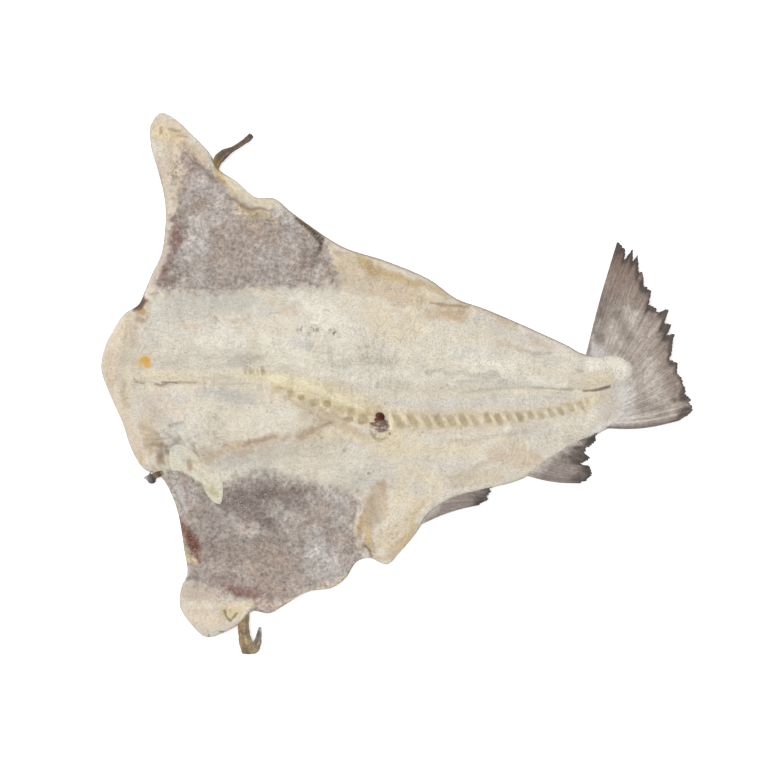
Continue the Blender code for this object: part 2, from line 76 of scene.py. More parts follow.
# What rises from the sheet, what is sunk into it, and where the whole sheet curls up off the ground. Each
# crest runs through points of x, y, half width, and height or depth.
RIDGES = {
    "upper_loin": [(-282, 42, 30, 7), (-240, 47, 48, 15), (-150, 52, 56, 18), (-60, 50, 56, 18),
                   (60, 32, 48, 15), (160, 16, 28, 9), (226, 15, 15, 4)],
    "lower_loin": [(-272, -30, 30, 6), (-230, -32, 46, 13), (-150, -40, 54, 16), (-60, -62, 52, 15),
                   (40, -66, 44, 12), (130, -52, 32, 9), (200, -30, 18, 5)],
    "upper_back": [(-70, 108, 26, 3), (0, 92, 34, 6), (80, 58, 28, 4), (150, 36, 20, 3)],
    "lower_belly": [(-45, -150, 18, 3), (-12, -152, 26, 6), (25, -112, 30, 6), (110, -82, 26, 3)],
    "upper_rim": [(-250, 100, 10, 2), (-226, 140, 9, 2), (-226, 190, 9, 2), (-238, 245, 14, 4),
                  (-226, 255, 12, 3), (-190, 220, 9, 2), (-140, 182, 11, 4)],
    "upper_fold": [(-165, 200, 8, 2), (-150, 183, 11, 4), (-128, 172, 10, 4), (-100, 158, 9, 3),
                   (-78, 130, 9, 3)],
    "lower_rim": [(-228, -120, 9, 2), (-213, -180, 9, 2), (-206, -232, 16, 5), (-175, -240, 14, 4),
                  (-130, -222, 9, 2), (-60, -198, 8, 2)],
    "nub_rim": [(-42, -172, 9, 3), (-10, -170, 12, 4), (14, -148, 10, 2)],
    "head_rim": [(-262, 68, 15, 4), (-284, 36, 16, 5), (-288, 10, 14, 4), (-268, -48, 14, 4),
                 (-250, -74, 13, 3)],
    "backbone": [(-128, 5, 7, 3), (-108, -2, 9, 5), (-75, -20, 10, 6), (-48, -30, 9, 6), (-20, -37, 8, 5)],
    "slit_lip": [(-256, 8, 7, 2), (-200, 9, 8, 3), (-130, 12, 8, 1)],
    "tongue": [(-226, -74, 8, 2), (-205, -92, 9, 3), (-186, -108, 8, 2)],
    "vertebrae": [(-6, -36, 12, 2), (60, -36, 12, 2), (140, -30, 9, 2), (206, -14, 7, 1)],
}
GROOVES = {
    "midline_slit": [(-268, 4, 2.4, 0.8), (-252, 2, 2.4, 1.2), (-240, 0, 2.4, 1.8), (-225, 2, 2.2, 1.8),
                     (-205, 2, 2.2, 1.4), (-185, 1, 3, 0.8), (-130, 3, 5, 0.6)],
    "backbone_side": [(-112, -14, 6, 1.2), (-75, -31, 7, 1.8), (-40, -43, 7, 1.4)],
    "seam": [(-185, -60, 6, 1), (-150, -60, 6, 2), (-98, -49, 6, 2), (-62, -37, 6, 1)],
    "tail_seam": [(120, -6, 5, 0.8), (150, -3, 3.6, 0.8), (178, -5, 2.6, 1.3), (200, -5.5, 2.4, 2.2),
                  (212, -3.5, 2.4, 2.2), (224, 0, 2.8, 1.4), (242, 6, 4, 0.8)],
    "head_fold": [(-260, 74, 4, 1.2), (-270, 58, 4, 1.2), (-274, 30, 4, 0.9), (-273, 4, 4, 1),
                  (-277, -8, 4, 1), (-268, -40, 4, 1), (-257, -66, 4, 1)],
    "membrane_folds": [(-222, -46, 3, 1), (-214, -60, 3, 1.4), (-204, -52, 3, 1), (-203, -72, 3, 1.4)],
    "spine_cut": [(-18, -31, 6, 3.5), (-15, -40, 6, 3.5)],
    "head_notch": [(-264, 79, 6, 3), (-256, 82, 5, 2)],
    "tongue_hollow": [(-213, -78, 6, 3), (-206, -82, 6, 3)],
    "muscle_line_low": [(56, -60, 5, 0.7), (86, -55, 5, 0.9), (112, -50, 5, 0.9), (152, -41, 4, 0.7)],
    "muscle_line_lowest": [(50, -96, 5, 0.7), (80, -85, 5, 1), (110, -72, 5, 0.9), (134, -64, 4, 0.6)],
    "muscle_line_high": [(116, 40, 5, 0.7), (138, 33, 5, 1), (160, 32, 5, 0.7)],
    "flap_fold": [(-176, 196, 2.4, 1), (-160, 184, 2.8, 1.7), (-148, 178, 2.8, 1.7), (-132, 179, 2.4, 1.2)],
}
LIFTS = {
    "upper_flap_tip": [(-246, 268, 75, 14), (-236, 200, 34, 5)],
    "lower_flap_tip": [(-192, -250, 68, 11), (-216, -190, 30, 4)],
    "head_end": [(-296, 50, 34, 5), (-298, 15, 30, 6), (-284, -40, 30, 4)],
    "upper_flank": [(-190, 232, 26, 5), (-110, 178, 28, 6), (-20, 130, 30, 7), (60, 90, 22, 4),
                    (130, 60, 16, 3)],
    "belly_nub": [(-8, -182, 34, 6)],
    "lower_flap_back": [(-60, -205, 24, 4), (-120, -226, 26, 5)],
    "lower_flank": [(40, -126, 20, 3), (100, -104, 20, 3), (170, -66, 18, 3)],
    "tail_tip": [(205, -4, 12, 1), (292, 20, 60, 7), (236, 140, 60, 9), (302, -20, 50, 6)],
}
# The hollow of the skin side along the back.
BACK_HOLLOW = [(-250, 2, 9, 1.5), (-60, 0, 12, 2), (80, -6, 12, 2), (200, -6, 7, 1.5)]

# Where the lining shows, a little wider than where it is sunk.
UPPER_LINED = [(-249, 94), (-238, 118), (-232, 140), (-229, 165), (-227, 195), (-229, 224), (-223, 239),
               (-214, 242), (-198, 229), (-188, 218), (-176, 203), (-162, 188), (-150, 178), (-134, 174),
               (-122, 184), (-104, 178), (-84, 160), (-69, 144), (-64, 128), (-62, 112), (-70, 101),
               (-92, 101), (-112, 99), (-134, 101), (-165, 96), (-200, 93), (-226, 96)]
LOWER_LINED = [(-238, -87), (-234, -110), (-227, -135), (-221, -165), (-216, -190), (-204, -204),
               (-186, -210), (-174, -217), (-162, -218), (-147, -218), (-150, -236), (-130, -238),
               (-108, -228), (-86, -215), (-62, -210), (-46, -196), (-40, -186), (-31, -179), (-37, -166),
               (-43, -156), (-44, -140), (-40, -125), (-38, -116), (-50, -108), (-74, -104), (-100, -98),
               (-128, -91), (-156, -92), (-172, -99), (-182, -104), (-198, -99), (-216, -88)]

LINING_SUNK = 2.0
LINING_STEP = 6.0
UPPER_LINING = [(-246, 101), (-232, 128), (-224, 150), (-224, 190), (-230, 220), (-212, 240), (-196, 222),
                (-168, 200), (-154, 182), (-130, 166), (-104, 164), (-84, 148), (-72, 130), (-62, 104),
                (-110, 98), (-180, 98)]
LOWER_LINING = [(-234, -86), (-224, -122), (-208, -150), (-212, -192), (-190, -214), (-140, -218),
                (-110, -210), (-62, -192), (-40, -166), (-42, -140), (-32, -112), (-60, -100), (-100, -96),
                (-150, -96), (-190, -104), (-216, -88)]

# Hollows along the lower side of the backbone: place, half height, half width, share of depth.
SPINE_CELLS = [
    (-153, 15, 3.4, 2.0, 0.8), (-147, 14, 3.8, 2.2, 0.8), (-142, 14, 3.4, 1.8, 0.7),
    (-137, 13.5, 4.2, 2.2, 1.2), (-137.5, -3, 5, 3, 0.4), (-122, -4.5, 3.2, 6.6, 0.6),
    (-109, 1, 5.4, 5.4, 0.45), (-109, -8, 7, 4, 0.7), (-97.5, -12.5, 3.6, 4.4, 1.0),
    (-84, -18, 4.4, 6, 0.85), (-70.5, -19.5, 4, 4, 0.9), (-74, -24, 4, 4.4, 0.6),
    (-60, -26, 5.8, 7.4, 0.65), (-47, -27.5, 5.8, 5, 0.75), (-49.5, -35, 3.2, 5.6, 1.0),
    (-33.7, -33.5, 5.4, 6, 1.0), (-25, -39.5, 2.4, 3.2, 1.0),
]
CELL_DEPTH = 1.5

VERTEBRA_LINE = [(-4, -36), (40, -36), (100, -34), (140, -30), (170, -25), (206, -13)]
# Pairs of values hold at the first vertebra and at the last.
VERTEBRA_SPACING = (13.6, 9.0)
RIB_HALF_LENGTH = (9.0, 4.5)
RIB_SLANT = math.radians(118)
RIB_HALF_WIDTH = 3.6
RIB_HEIGHT = 1.5
CELL_HALF_LENGTH = (10.5, 5.5)
CELL_SHARE = (0.5, 0.85)  # of the full depth, by chance
CELL_FADE = 0.82  # from this share of the way along, the hollows lose half their depth
BAR_HALF_WIDTH = 1.5  # the pale bar left between one hollow and the next
SPINE_CELL_SLANT = math.radians(104)
SPINE_CELL_WIDER = 1.1  # makes up for the rounding of a hollow's corners
SPINE_CELL_SHARE = 0.75
POCKET_WALL = 1.2  # the larger, the steeper the wall of a hollow
TAIL_THINS = (208.0, 28.0)  # the flesh thins onto the tail fin from this x, over this length

# Fans of rays, each from its root to its margin: how far the first ray and the last bow outward, how many
# rays there are, and how deep the margin is torn.
TAIL_FIN = {
    "root": [(191, 25), (208, 18), (216, 4), (217, -12), (214, -28), (212, -44)],
    "margin": [(223, 145), (226, 144), (229, 140), (231, 139), (231, 130), (233, 131), (236, 134),
               (238, 138), (239, 137), (239, 126), (242, 130), (244, 132), (245, 124), (246, 116),
               (249, 116), (250, 108), (250, 101), (254, 100), (258, 97), (257, 88), (255, 82), (259, 81),
               (264, 77), (268, 75), (274, 78), (276, 77), (273, 69), (271, 63), (278, 62), (278, 60),
               (275, 53), (282, 52), (280, 46), (279, 36), (278, 26), (285, 23), (284, 13), (289, 8),
               (291, 1), (293, -5), (293, -9), (297, -11), (300, -20), (300, -26), (295, -31), (287, -36)],
    "bulge": (1, 4),
    "rays": 74,
    "fray": 1.6,
}
REAR_ANAL_FIN = {
    "root": [(203, -43), (184, -53), (162, -64), (140, -80), (128, -91)],
    "margin": [(204, -50), (203, -56), (198, -62), (192, -68), (193, -71), (197, -74), (194, -77),
               (187, -80), (191, -82), (197, -82), (198, -88), (200, -92), (195, -96), (189, -100)],
    "bulge": (0, 3),
    "rays": 26,
    "fray": 1.6,
}
FRONT_ANAL_FIN = {
    "root": [(96, -98), (75, -102), (56, -109), (40, -120), (21, -144)],
    "margin": [(99, -104), (95, -107), (97, -109), (93, -112), (94, -117), (88, -119), (84, -122)],
    "bulge": (0, -3),
    "rays": 18,
    "fray": 2.2,
}
FIN_GAP = 0.3
FIN_ROOT_THICK = 3.4
FIN_TIP_THICK = 1.9

# Folded fins: x, y, half width, height of the middle.
UPPER_PELVIC = [(-184, 213, 2.4, 3.6), (-184, 221, 3.4, 5), (-182, 228, 5.0, 7), (-175.5, 234.5, 4.8, 8.5),
                (-166.5, 239.5, 2.9, 9), (-157.5, 245, 2.7, 9), (-151, 250, 3.2, 8.5),
                (-147.8, 253.5, 3.0, 8)]
LOWER_PELVIC = [(-155, -226, 5.0, 6), (-155.5, -236, 6.0, 8.5), (-155.5, -248, 6.0, 8.5),
                (-154, -259, 6.4, 7.5), (-151.5, -266, 7.4, 6), (-150, -271, 8.0, 5)]
LOWER_PELVIC_HOOK = [(-152, -268, 3.0, 5.4), (-146, -268.5, 5.0, 5), (-142.5, -263, 4.4, 5),
                     (-140.6, -255, 3.0, 5.2), (-139.2, -246, 1.3, 5.6)]
PECTORAL_TIP = [(-238, -88, 2.0, 4), (-242, -90.5, 2.8, 4), (-245.5, -92, 3.2, 4), (-249, -94.5, 5.2, 3.9),
                (-253, -94.5, 3.6, 3.8), (-257, -94, 1.2, 3.6)]
STRIP_THICK = 4.0
STRIP_SIDES = 40
STRIP_STEP = 0.9
STRIP_TIP = 0.35  # how far an end stands out, as a share of its half width
STREAK_LENGTH = 22.0

# How far apart a mesh's points are: along an outline, over the flesh side and its finer zones, where flesh
# and skin meet, over the skin side, and along the lining's border.
OUTLINE_STEP = 1.6
TOP_STEP = 1.75
FINE_STEP = 1.15
INNER_STEP = 7.0
UNDER_STEP = 2.7
REGION_STEP = 4.0

SKIN_THICK = 1.0
SKIN_OVERLAP = 0.4  # how far the flesh reaches into the skin, so that no gap shows
LINING_FADE = 11.0  # the width over which the lining's colour gives way to the flesh's

CROWN = (21.6, 1.1)  # above the first height the flesh flattens out, and never gains more than the second

# Fine relief: wavelength and height of each layer of unevenness.
SWELL = (46.0, 1.1)
DIMPLE = (15.0, 0.65)
PEBBLE = (7.0, 0.42)
STREAK = ((26.0, 5.0), 0.55)
WRINKLE = (5.2, 0.5)
CRUST = (3.8, 0.22)

# How far a painted border wanders: broad bends and small ones.
WARP_SIZE = (14, 4.2)
WARP_REACH = (3.0, 1.35)


# Curves and fields over the plan, the part's own.


def smooth_curve(points, step, closed=False):
    """Points about one step apart along a centripetal Catmull-Rom curve, with any columns after x and y."""
    p = np.asarray(points, float)
    if len(p) == 1:
        return p
    if closed:
        p = np.vstack([p[-1], p, p[:2]])
    else:
        p = np.vstack([2 * p[0] - p[1], p, 2 * p[-1] - p[-2]])
    knots = np.concatenate([[0], np.cumsum(np.sqrt(np.linalg.norm(np.diff(p[:, :2], axis=0), axis=1)))])
    made = []
    for i in range(1, len(p) - 2):
        t0, t1, t2, t3 = knots[i - 1 : i + 3]
        count = max(1, round(np.linalg.norm(p[i + 1, :2] - p[i, :2]) / step))
        for t in np.linspace(t1, t2, count, endpoint=False):
            a1 = p[i - 1] + (p[i] - p[i - 1]) * (t - t0) / (t1 - t0)
            a2 = p[i] + (p[i + 1] - p[i]) * (t - t1) / (t2 - t1)
            a3 = p[i + 1] + (p[i + 2] - p[i + 1]) * (t - t2) / (t3 - t2)
            b1 = a1 + (a2 - a1) * (t - t0) / (t2 - t0)
            b2 = a2 + (a3 - a2) * (t - t1) / (t3 - t1)
            made.append(b1 + (b2 - b1) * (t - t1) / (t2 - t1))
    if not closed:
        made.append(p[-2])
    return np.array(made)


def along(curve, shares):
    """The points at these shares of the curve's length."""
    length = np.concatenate([[0], np.cumsum(np.linalg.norm(np.diff(curve[:, :2], axis=0), axis=1))])
    return np.stack([np.interp(shares, length / length[-1], column) for column in curve.T], axis=1)


def edge_distance(xy, loop):
    """Distance from each point to the closed loop, positive inside it."""
    nearest = np.full(len(xy), np.inf)
    inside = np.zeros(len(xy), bool)
    x, y = xy[:, 0], xy[:, 1]
    for a, b in zip(loop, np.roll(loop, -1, axis=0)):
        run = b - a
        share = np.clip(((x - a[0]) * run[0] + (y - a[1]) * run[1]) / (run @ run), 0, 1)
        nearest = np.minimum(nearest, (x - a[0] - share * run[0]) ** 2 + (y - a[1] - share * run[1]) ** 2)
        if a[1] != b[1]:
            inside ^= ((a[1] > y) != (b[1] > y)) & (x < a[0] + run[0] * (y - a[1]) / run[1])
    nearest = np.sqrt(nearest)
    return np.where(inside, nearest, -nearest)


def ridge(xy, crest):
    """Height of one rounded ridge over each point."""
    narrowest = min(row[2] for row in crest)
    height = np.zeros(len(xy))
    for x, y, half_width, top in smooth_curve(crest, narrowest / 3):
        share = ((xy[:, 0] - x) ** 2 + (xy[:, 1] - y) ** 2) / half_width**2
        height = np.maximum(height, top * np.clip(1 - share, 0, 1) ** 2)
    return height


def smooth_step(value):
    """0 below 0, 1 above 1, and an even rise between them."""
    value = np.clip(value, 0, 1)
    return value * value * (3 - 2 * value)


def rounded(inward):
    """Share of the full thickness this far in from the edge."""
    return np.sqrt(1 - (1 - np.clip(inward / EDGE_ROUND, 0, 1)) ** 2)


def between(ends, share):
    """The value this share of the way from the first end to the second."""
    return ends[0] + (ends[1] - ends[0]) * share


def total_height(xy, crests):
    """The height over each point of all the named ridges together."""
    return sum(ridge(xy, crest) for crest in crests.values())


def turned(xy, x, y, angle):
    """How far each point lies from a place along a slanting line, and across that line."""
    lengthwise = (xy[:, 0] - x) * math.cos(angle) + (xy[:, 1] - y) * math.sin(angle)
    sideways = (xy[:, 0] - x) * math.sin(angle) - (xy[:, 1] - y) * math.cos(angle)
    return lengthwise, sideways


def vertebra_centres():
    """Centre and share of the way along for each rib, closing up toward the tail."""
    line = smooth_curve(VERTEBRA_LINE, 2.0)
    total = np.linalg.norm(np.diff(line, axis=0), axis=1).sum()
    centres = []
    run = 0.0
    while run < total:
        share = run / total
        centres.append((*along(line, [share])[0], share))
        run += between(VERTEBRA_SPACING, share)
    return centres


def ribs(xy):
    """Share of the rib's height over each point."""
    height = np.zeros(len(xy))
    for x, y, share in vertebra_centres():
        lengthwise, sideways = turned(xy, x, y, RIB_SLANT)
        share_out = (lengthwise / between(RIB_HALF_LENGTH, share)) ** 2 + (sideways / RIB_HALF_WIDTH) ** 2
        height = np.maximum(height, np.clip(1 - share_out, 0, 1))
    return height


def pocket(xy, x, y, half_long, half_wide, angle):
    """1 over the middle of a slanting hollow with rounded corners, falling to 0 at its edge."""
    lengthwise, sideways = turned(xy, x, y, angle)
    inside = POCKET_WALL - POCKET_WALL * np.abs(lengthwise / half_long) ** 3
    return np.clip(inside - POCKET_WALL * np.abs(sideways / half_wide) ** 3, 0, 1)


def vertebra_cells(xy):
    """The hollows between the ribs, each a little out of place and with its own depth."""
    rng = np.random.default_rng(SEED)
    cover = np.zeros(len(xy))
    centres = vertebra_centres()
    for (x0, y0, share), (x1, y1, _) in zip(centres, centres[1:]):
        half_wide = math.hypot(x1 - x0, y1 - y0) * math.sin(RIB_SLANT) / 2 - BAR_HALF_WIDTH
        x, y = (x0 + x1) / 2 + rng.normal(0, 0.6), (y0 + y1) / 2 + rng.normal(0, 0.8)
        deep = rng.uniform(*CELL_SHARE) * (1 - 0.5 * smooth_step((share - CELL_FADE) / (1 - CELL_FADE)))
        slant = RIB_SLANT + rng.normal(0, 0.05)
        half_long = between(CELL_HALF_LENGTH, share) * rng.uniform(0.85, 1.1)
        cover = np.maximum(cover, deep * pocket(xy, x, y, half_long, half_wide, slant))
    return cover


def spine_cells(xy):
    """The hollows along the lower side of the backbone."""
    cover = np.zeros(len(xy))
    for x, y, half_high, half_wide, deep in SPINE_CELLS:
        size = SPINE_CELL_WIDER * half_high, SPINE_CELL_WIDER * half_wide
        cover = np.maximum(cover, SPINE_CELL_SHARE * deep * pocket(xy, x, y, *size, SPINE_CELL_SLANT))
    return cover


def noise(xy, size, seed, octaves=1):
    """Smooth noise from -1 to 1 whose lumps are this size across, or this size along x and y."""
    table = np.random.default_rng(seed).uniform(-1, 1, (256, 256))
    turn = np.array([[0.8, 0.6], [-0.6, 0.8]])
    finer, shift = 2.03, 17.3
    points = xy / np.asarray(size, float)
    total = np.zeros(len(xy))
    reach = 0.0
    for octave in range(octaves):
        cell = np.floor(points).astype(int)
        part = points - cell
        part = part**3 * (part * (part * 6 - 15) + 10)
        x0, y0 = cell[:, 0] & 255, cell[:, 1] & 255
        x1, y1 = (x0 + 1) & 255, (y0 + 1) & 255
        low = table[x0, y0] * (1 - part[:, 0]) + table[x1, y0] * part[:, 0]
        high = table[x0, y1] * (1 - part[:, 0]) + table[x1, y1] * part[:, 0]
        weight = 0.5**octave
        total += weight * (low * (1 - part[:, 1]) + high * part[:, 1])
        reach += weight
        points = points @ turn * finer + shift
    return total / reach


def clouds(xy, size, seed, octaves, contrast, bias=0.0):
    """Smooth patches from 0 to 1: the bias says how much of the surface they cover."""
    return smooth_step(noise(xy, size, seed, octaves) * contrast + bias)


def warped(xy):
    """The points moved about a little, so that a painted border wanders."""
    moved = xy.copy()
    for axis in (0, 1):
        broad, close = (noise(xy, size, seed + axis, 2) for size, seed in zip(WARP_SIZE, (21, 31)))
        moved[:, axis] += WARP_REACH[0] * broad + WARP_REACH[1] * close
    return moved


class Plan:
    """What the flesh side needs to know at each point, worked out once."""

    def __init__(self, xy, outline):
        self.xy = xy
        self.inward = edge_distance(xy, outline)
        self.lift = total_height(xy, LIFTS)
        self.warped = warped(xy)
        self.steady = 0.85 * xy + 0.15 * self.warped
        self.patchy = patches(xy)
        self.ribs = ribs(self.warped * 0.5 + xy * 0.5)
        tail_cells = vertebra_cells(self.warped * 0.4 + xy * 0.6)
        self.cells = np.maximum(tail_cells, spine_cells(self.warped * 0.7 + xy * 0.3))
        self.lining = np.zeros(len(xy))
        self.sunk = np.zeros(len(xy))
        ragged = 0.55 * noise(xy, 4.0, 41, 2) + 0.35 * noise(xy, 11, 42, 2)
        for sunk, lined in ((UPPER_LINING, UPPER_LINED), (LOWER_LINING, LOWER_LINED)):
            sunk_loop, lined_loop = (smooth_curve(loop, REGION_STEP, closed=True) for loop in (sunk, lined))
            self.sunk += LINING_SUNK * smooth_step(edge_distance(xy, sunk_loop) / LINING_STEP)
            border = edge_distance(self.warped, lined_loop) / LINING_FADE
            self.lining = np.maximum(self.lining, smooth_step(border + 0.5 + ragged))

    def top(self):
        """Height of the flesh side."""
        xy = self.xy
        full = BELLY_WALL + total_height(xy, RIDGES) + RIB_HEIGHT * self.ribs
        full -= total_height(xy, GROOVES) + self.sunk + CELL_DEPTH * self.cells
        full += self.unevenness()
        full += (FIN_ROOT_THICK - full) * smooth_step((xy[:, 0] - TAIL_THINS[0]) / TAIL_THINS[1])
        full = np.maximum(full, THINNEST + ridge(xy, BACK_HOLLOW))
        height = self.rising_to(full)
        over = np.maximum(height - CROWN[0], 0)
        return height - over + CROWN[1] * (1 - np.exp(-over / CROWN[1]))

    def unevenness(self):
        """Fine relief, without a change in the mean thickness."""
        xy = self.xy
        height = SWELL[1] * noise(xy, SWELL[0], 3, 2) + DIMPLE[1] * noise(xy, DIMPLE[0], 4, 2)
        height += PEBBLE[1] * noise(self.warped, PEBBLE[0], 8, 2)
        height += STREAK[1] * (1 - self.lining) * noise(xy, STREAK[0], 5, 2)
        height += WRINKLE[1] * self.lining * (1 - 2 * np.abs(noise(xy, WRINKLE[0], 6, 2)))
        return height + CRUST[1] * noise(xy, CRUST[0], 7, 2)

    def under(self):
        """Height of the skin side."""
        return self.rising_to(ridge(self.xy, BACK_HOLLOW))

    def rising_to(self, full):
        """A side's height, rounded off from its full height to the middle of the edge."""
        edge = self.lift + EDGE_SHARE * BELLY_WALL
        return edge + (self.lift + full - edge) * rounded(self.inward)


# Colour. Names stand for colours as seen, in 0 to 255; a point's colour is linear.

EXPOSURE = 1.05  # how much brighter than its own colour a surface is lit

CREAM = (217, 209, 194)
PALE = (229, 223, 208)
WARM = (220, 207, 180)
BUFF = (217, 204, 176)
DRAB = (184, 165, 138)
FLAP_TIP = (221, 201, 167)
GREY_CREAM = (208, 202, 190)
COOL = (206, 201, 192)
ASH = (160, 153, 142)
FROSTED = (220, 215, 207)
TAN = (200, 181, 152)
PINK_TAN = (207, 188, 165)
HEAD_TAN = (217, 202, 180)
ROSE_CREAM = (203, 185, 170)
NUB_CREAM = (211, 197, 172)
YELLOW_TAN = (206, 182, 138)
OCHRE = (180, 148, 104)
BONE = (218, 203, 168)
BONE_PALE = (228, 218, 186)
BAND = (206, 191, 161)
CELL = (180, 162, 128)
CELL_DARK = (134, 116, 78)
OLIVE = (128, 112, 66)
YELLOW_OLIVE = (194, 171, 126)
ORANGE = (216, 166, 66)
AMBER = (224, 196, 146)
BROWN = (150, 122, 94)
RED_BROWN = (140, 100, 82)
RED = (118, 70, 54)
DARK_BROWN = (98, 78, 64)
NOTCH_BROWN = (116, 88, 70)
CLOT = (66, 34, 18)
CLOT_GREY = (140, 120, 106)
CLOT_DARK = (84, 66, 56)
CLOT_PALE = (206, 188, 178)
CLOT_RED = (112, 60, 28)
LINING = (170, 158, 149)
LINING_DARK = (132, 118, 110)
LINING_PALE = (190, 182, 176)
LINING_WARM = (166, 149, 136)
LINING_PINK = (182, 166, 156)
LINING_ROSE = (158, 138, 130)
PURPLE = (144, 114, 106)
EDGE_GREY = (146, 128, 104)
SKIN_BACK = (112, 103, 88)
SKIN_SIDE = (156, 146, 128)
SKIN_BELLY = (196, 187, 168)
SKIN_SPOT = (92, 78, 60)
SKIN_LINE = (190, 180, 160)

# Where the flesh is cracked and flaky: place, half width, share.
CRACKED = [
    (-98, 55, 8, 1.8), (-84, 55, 7, 1.8), (-65, 53, 6, 2.0), (-70, 72, 7, 0.8), (-108, 72, 9, 0.8),
    (-90, 50, 9, 0.7), (-72, 36, 7, 0.7), (-64, 24, 7, 0.8), (-34, 34, 16, 0.9), (-16, 48, 13, 0.8),
    (-8, 22, 16, 0.8), (-30, 84, 9, 0.6), (-214, 66, 11, 0.7), (-186, 68, 9, 0.6), (-246, 84, 9, 0.8),
    (-274, 60, 8, 0.9), (-262, 58, 9, 0.6), (-274, -14, 6, 0.8), (-240, -46, 10, 0.9), (-228, -42, 9, 0.9),
    (-206, -58, 9, 0.9), (-196, -74, 10, 0.8), (-250, -56, 8, 0.6), (-180, -60, 10, 0.8),
    (-150, -56, 10, 0.9), (-128, -50, 9, 0.8), (-84, -50, 12, 1.0), (-64, -40, 8, 0.8), (-150, 20, 9, 0.8),
    (-134, 16, 8, 0.8), (-110, -4, 10, 0.8), (-84, -18, 8, 0.7), (-20, -50, 11, 1.0), (-14, -14, 12, 0.8),
    (-52, -66, 12, 0.7), (-96, -66, 10, 0.6), (-28, -92, 12, 0.8), (28, 78, 10, 0.8), (60, 76, 12, 0.8),
    (30, 16, 12, 0.6), (84, 12, 12, 0.6), (128, 8, 12, 0.6), (182, 14, 6, 1.0), (206, 2, 7, 0.8),
    (186, 36, 12, 0.6), (228, 2, 8, 0.8), (66, -54, 12, 0.6), (116, -58, 12, 0.8), (152, -52, 12, 0.7),
    (-4, -150, 14, 0.7), (-30, -158, 9, 1.0), (14, -130, 10, 0.6), (-180, 222, 8, 0.9),
    (-150, 184, 12, 0.7), (-228, 254, 10, 0.8), (-172, -232, 10, 0.6), (-206, -226, 10, 0.5),
    (-24, 120, 10, 0.6), (10, 104, 8, 0.6),
]
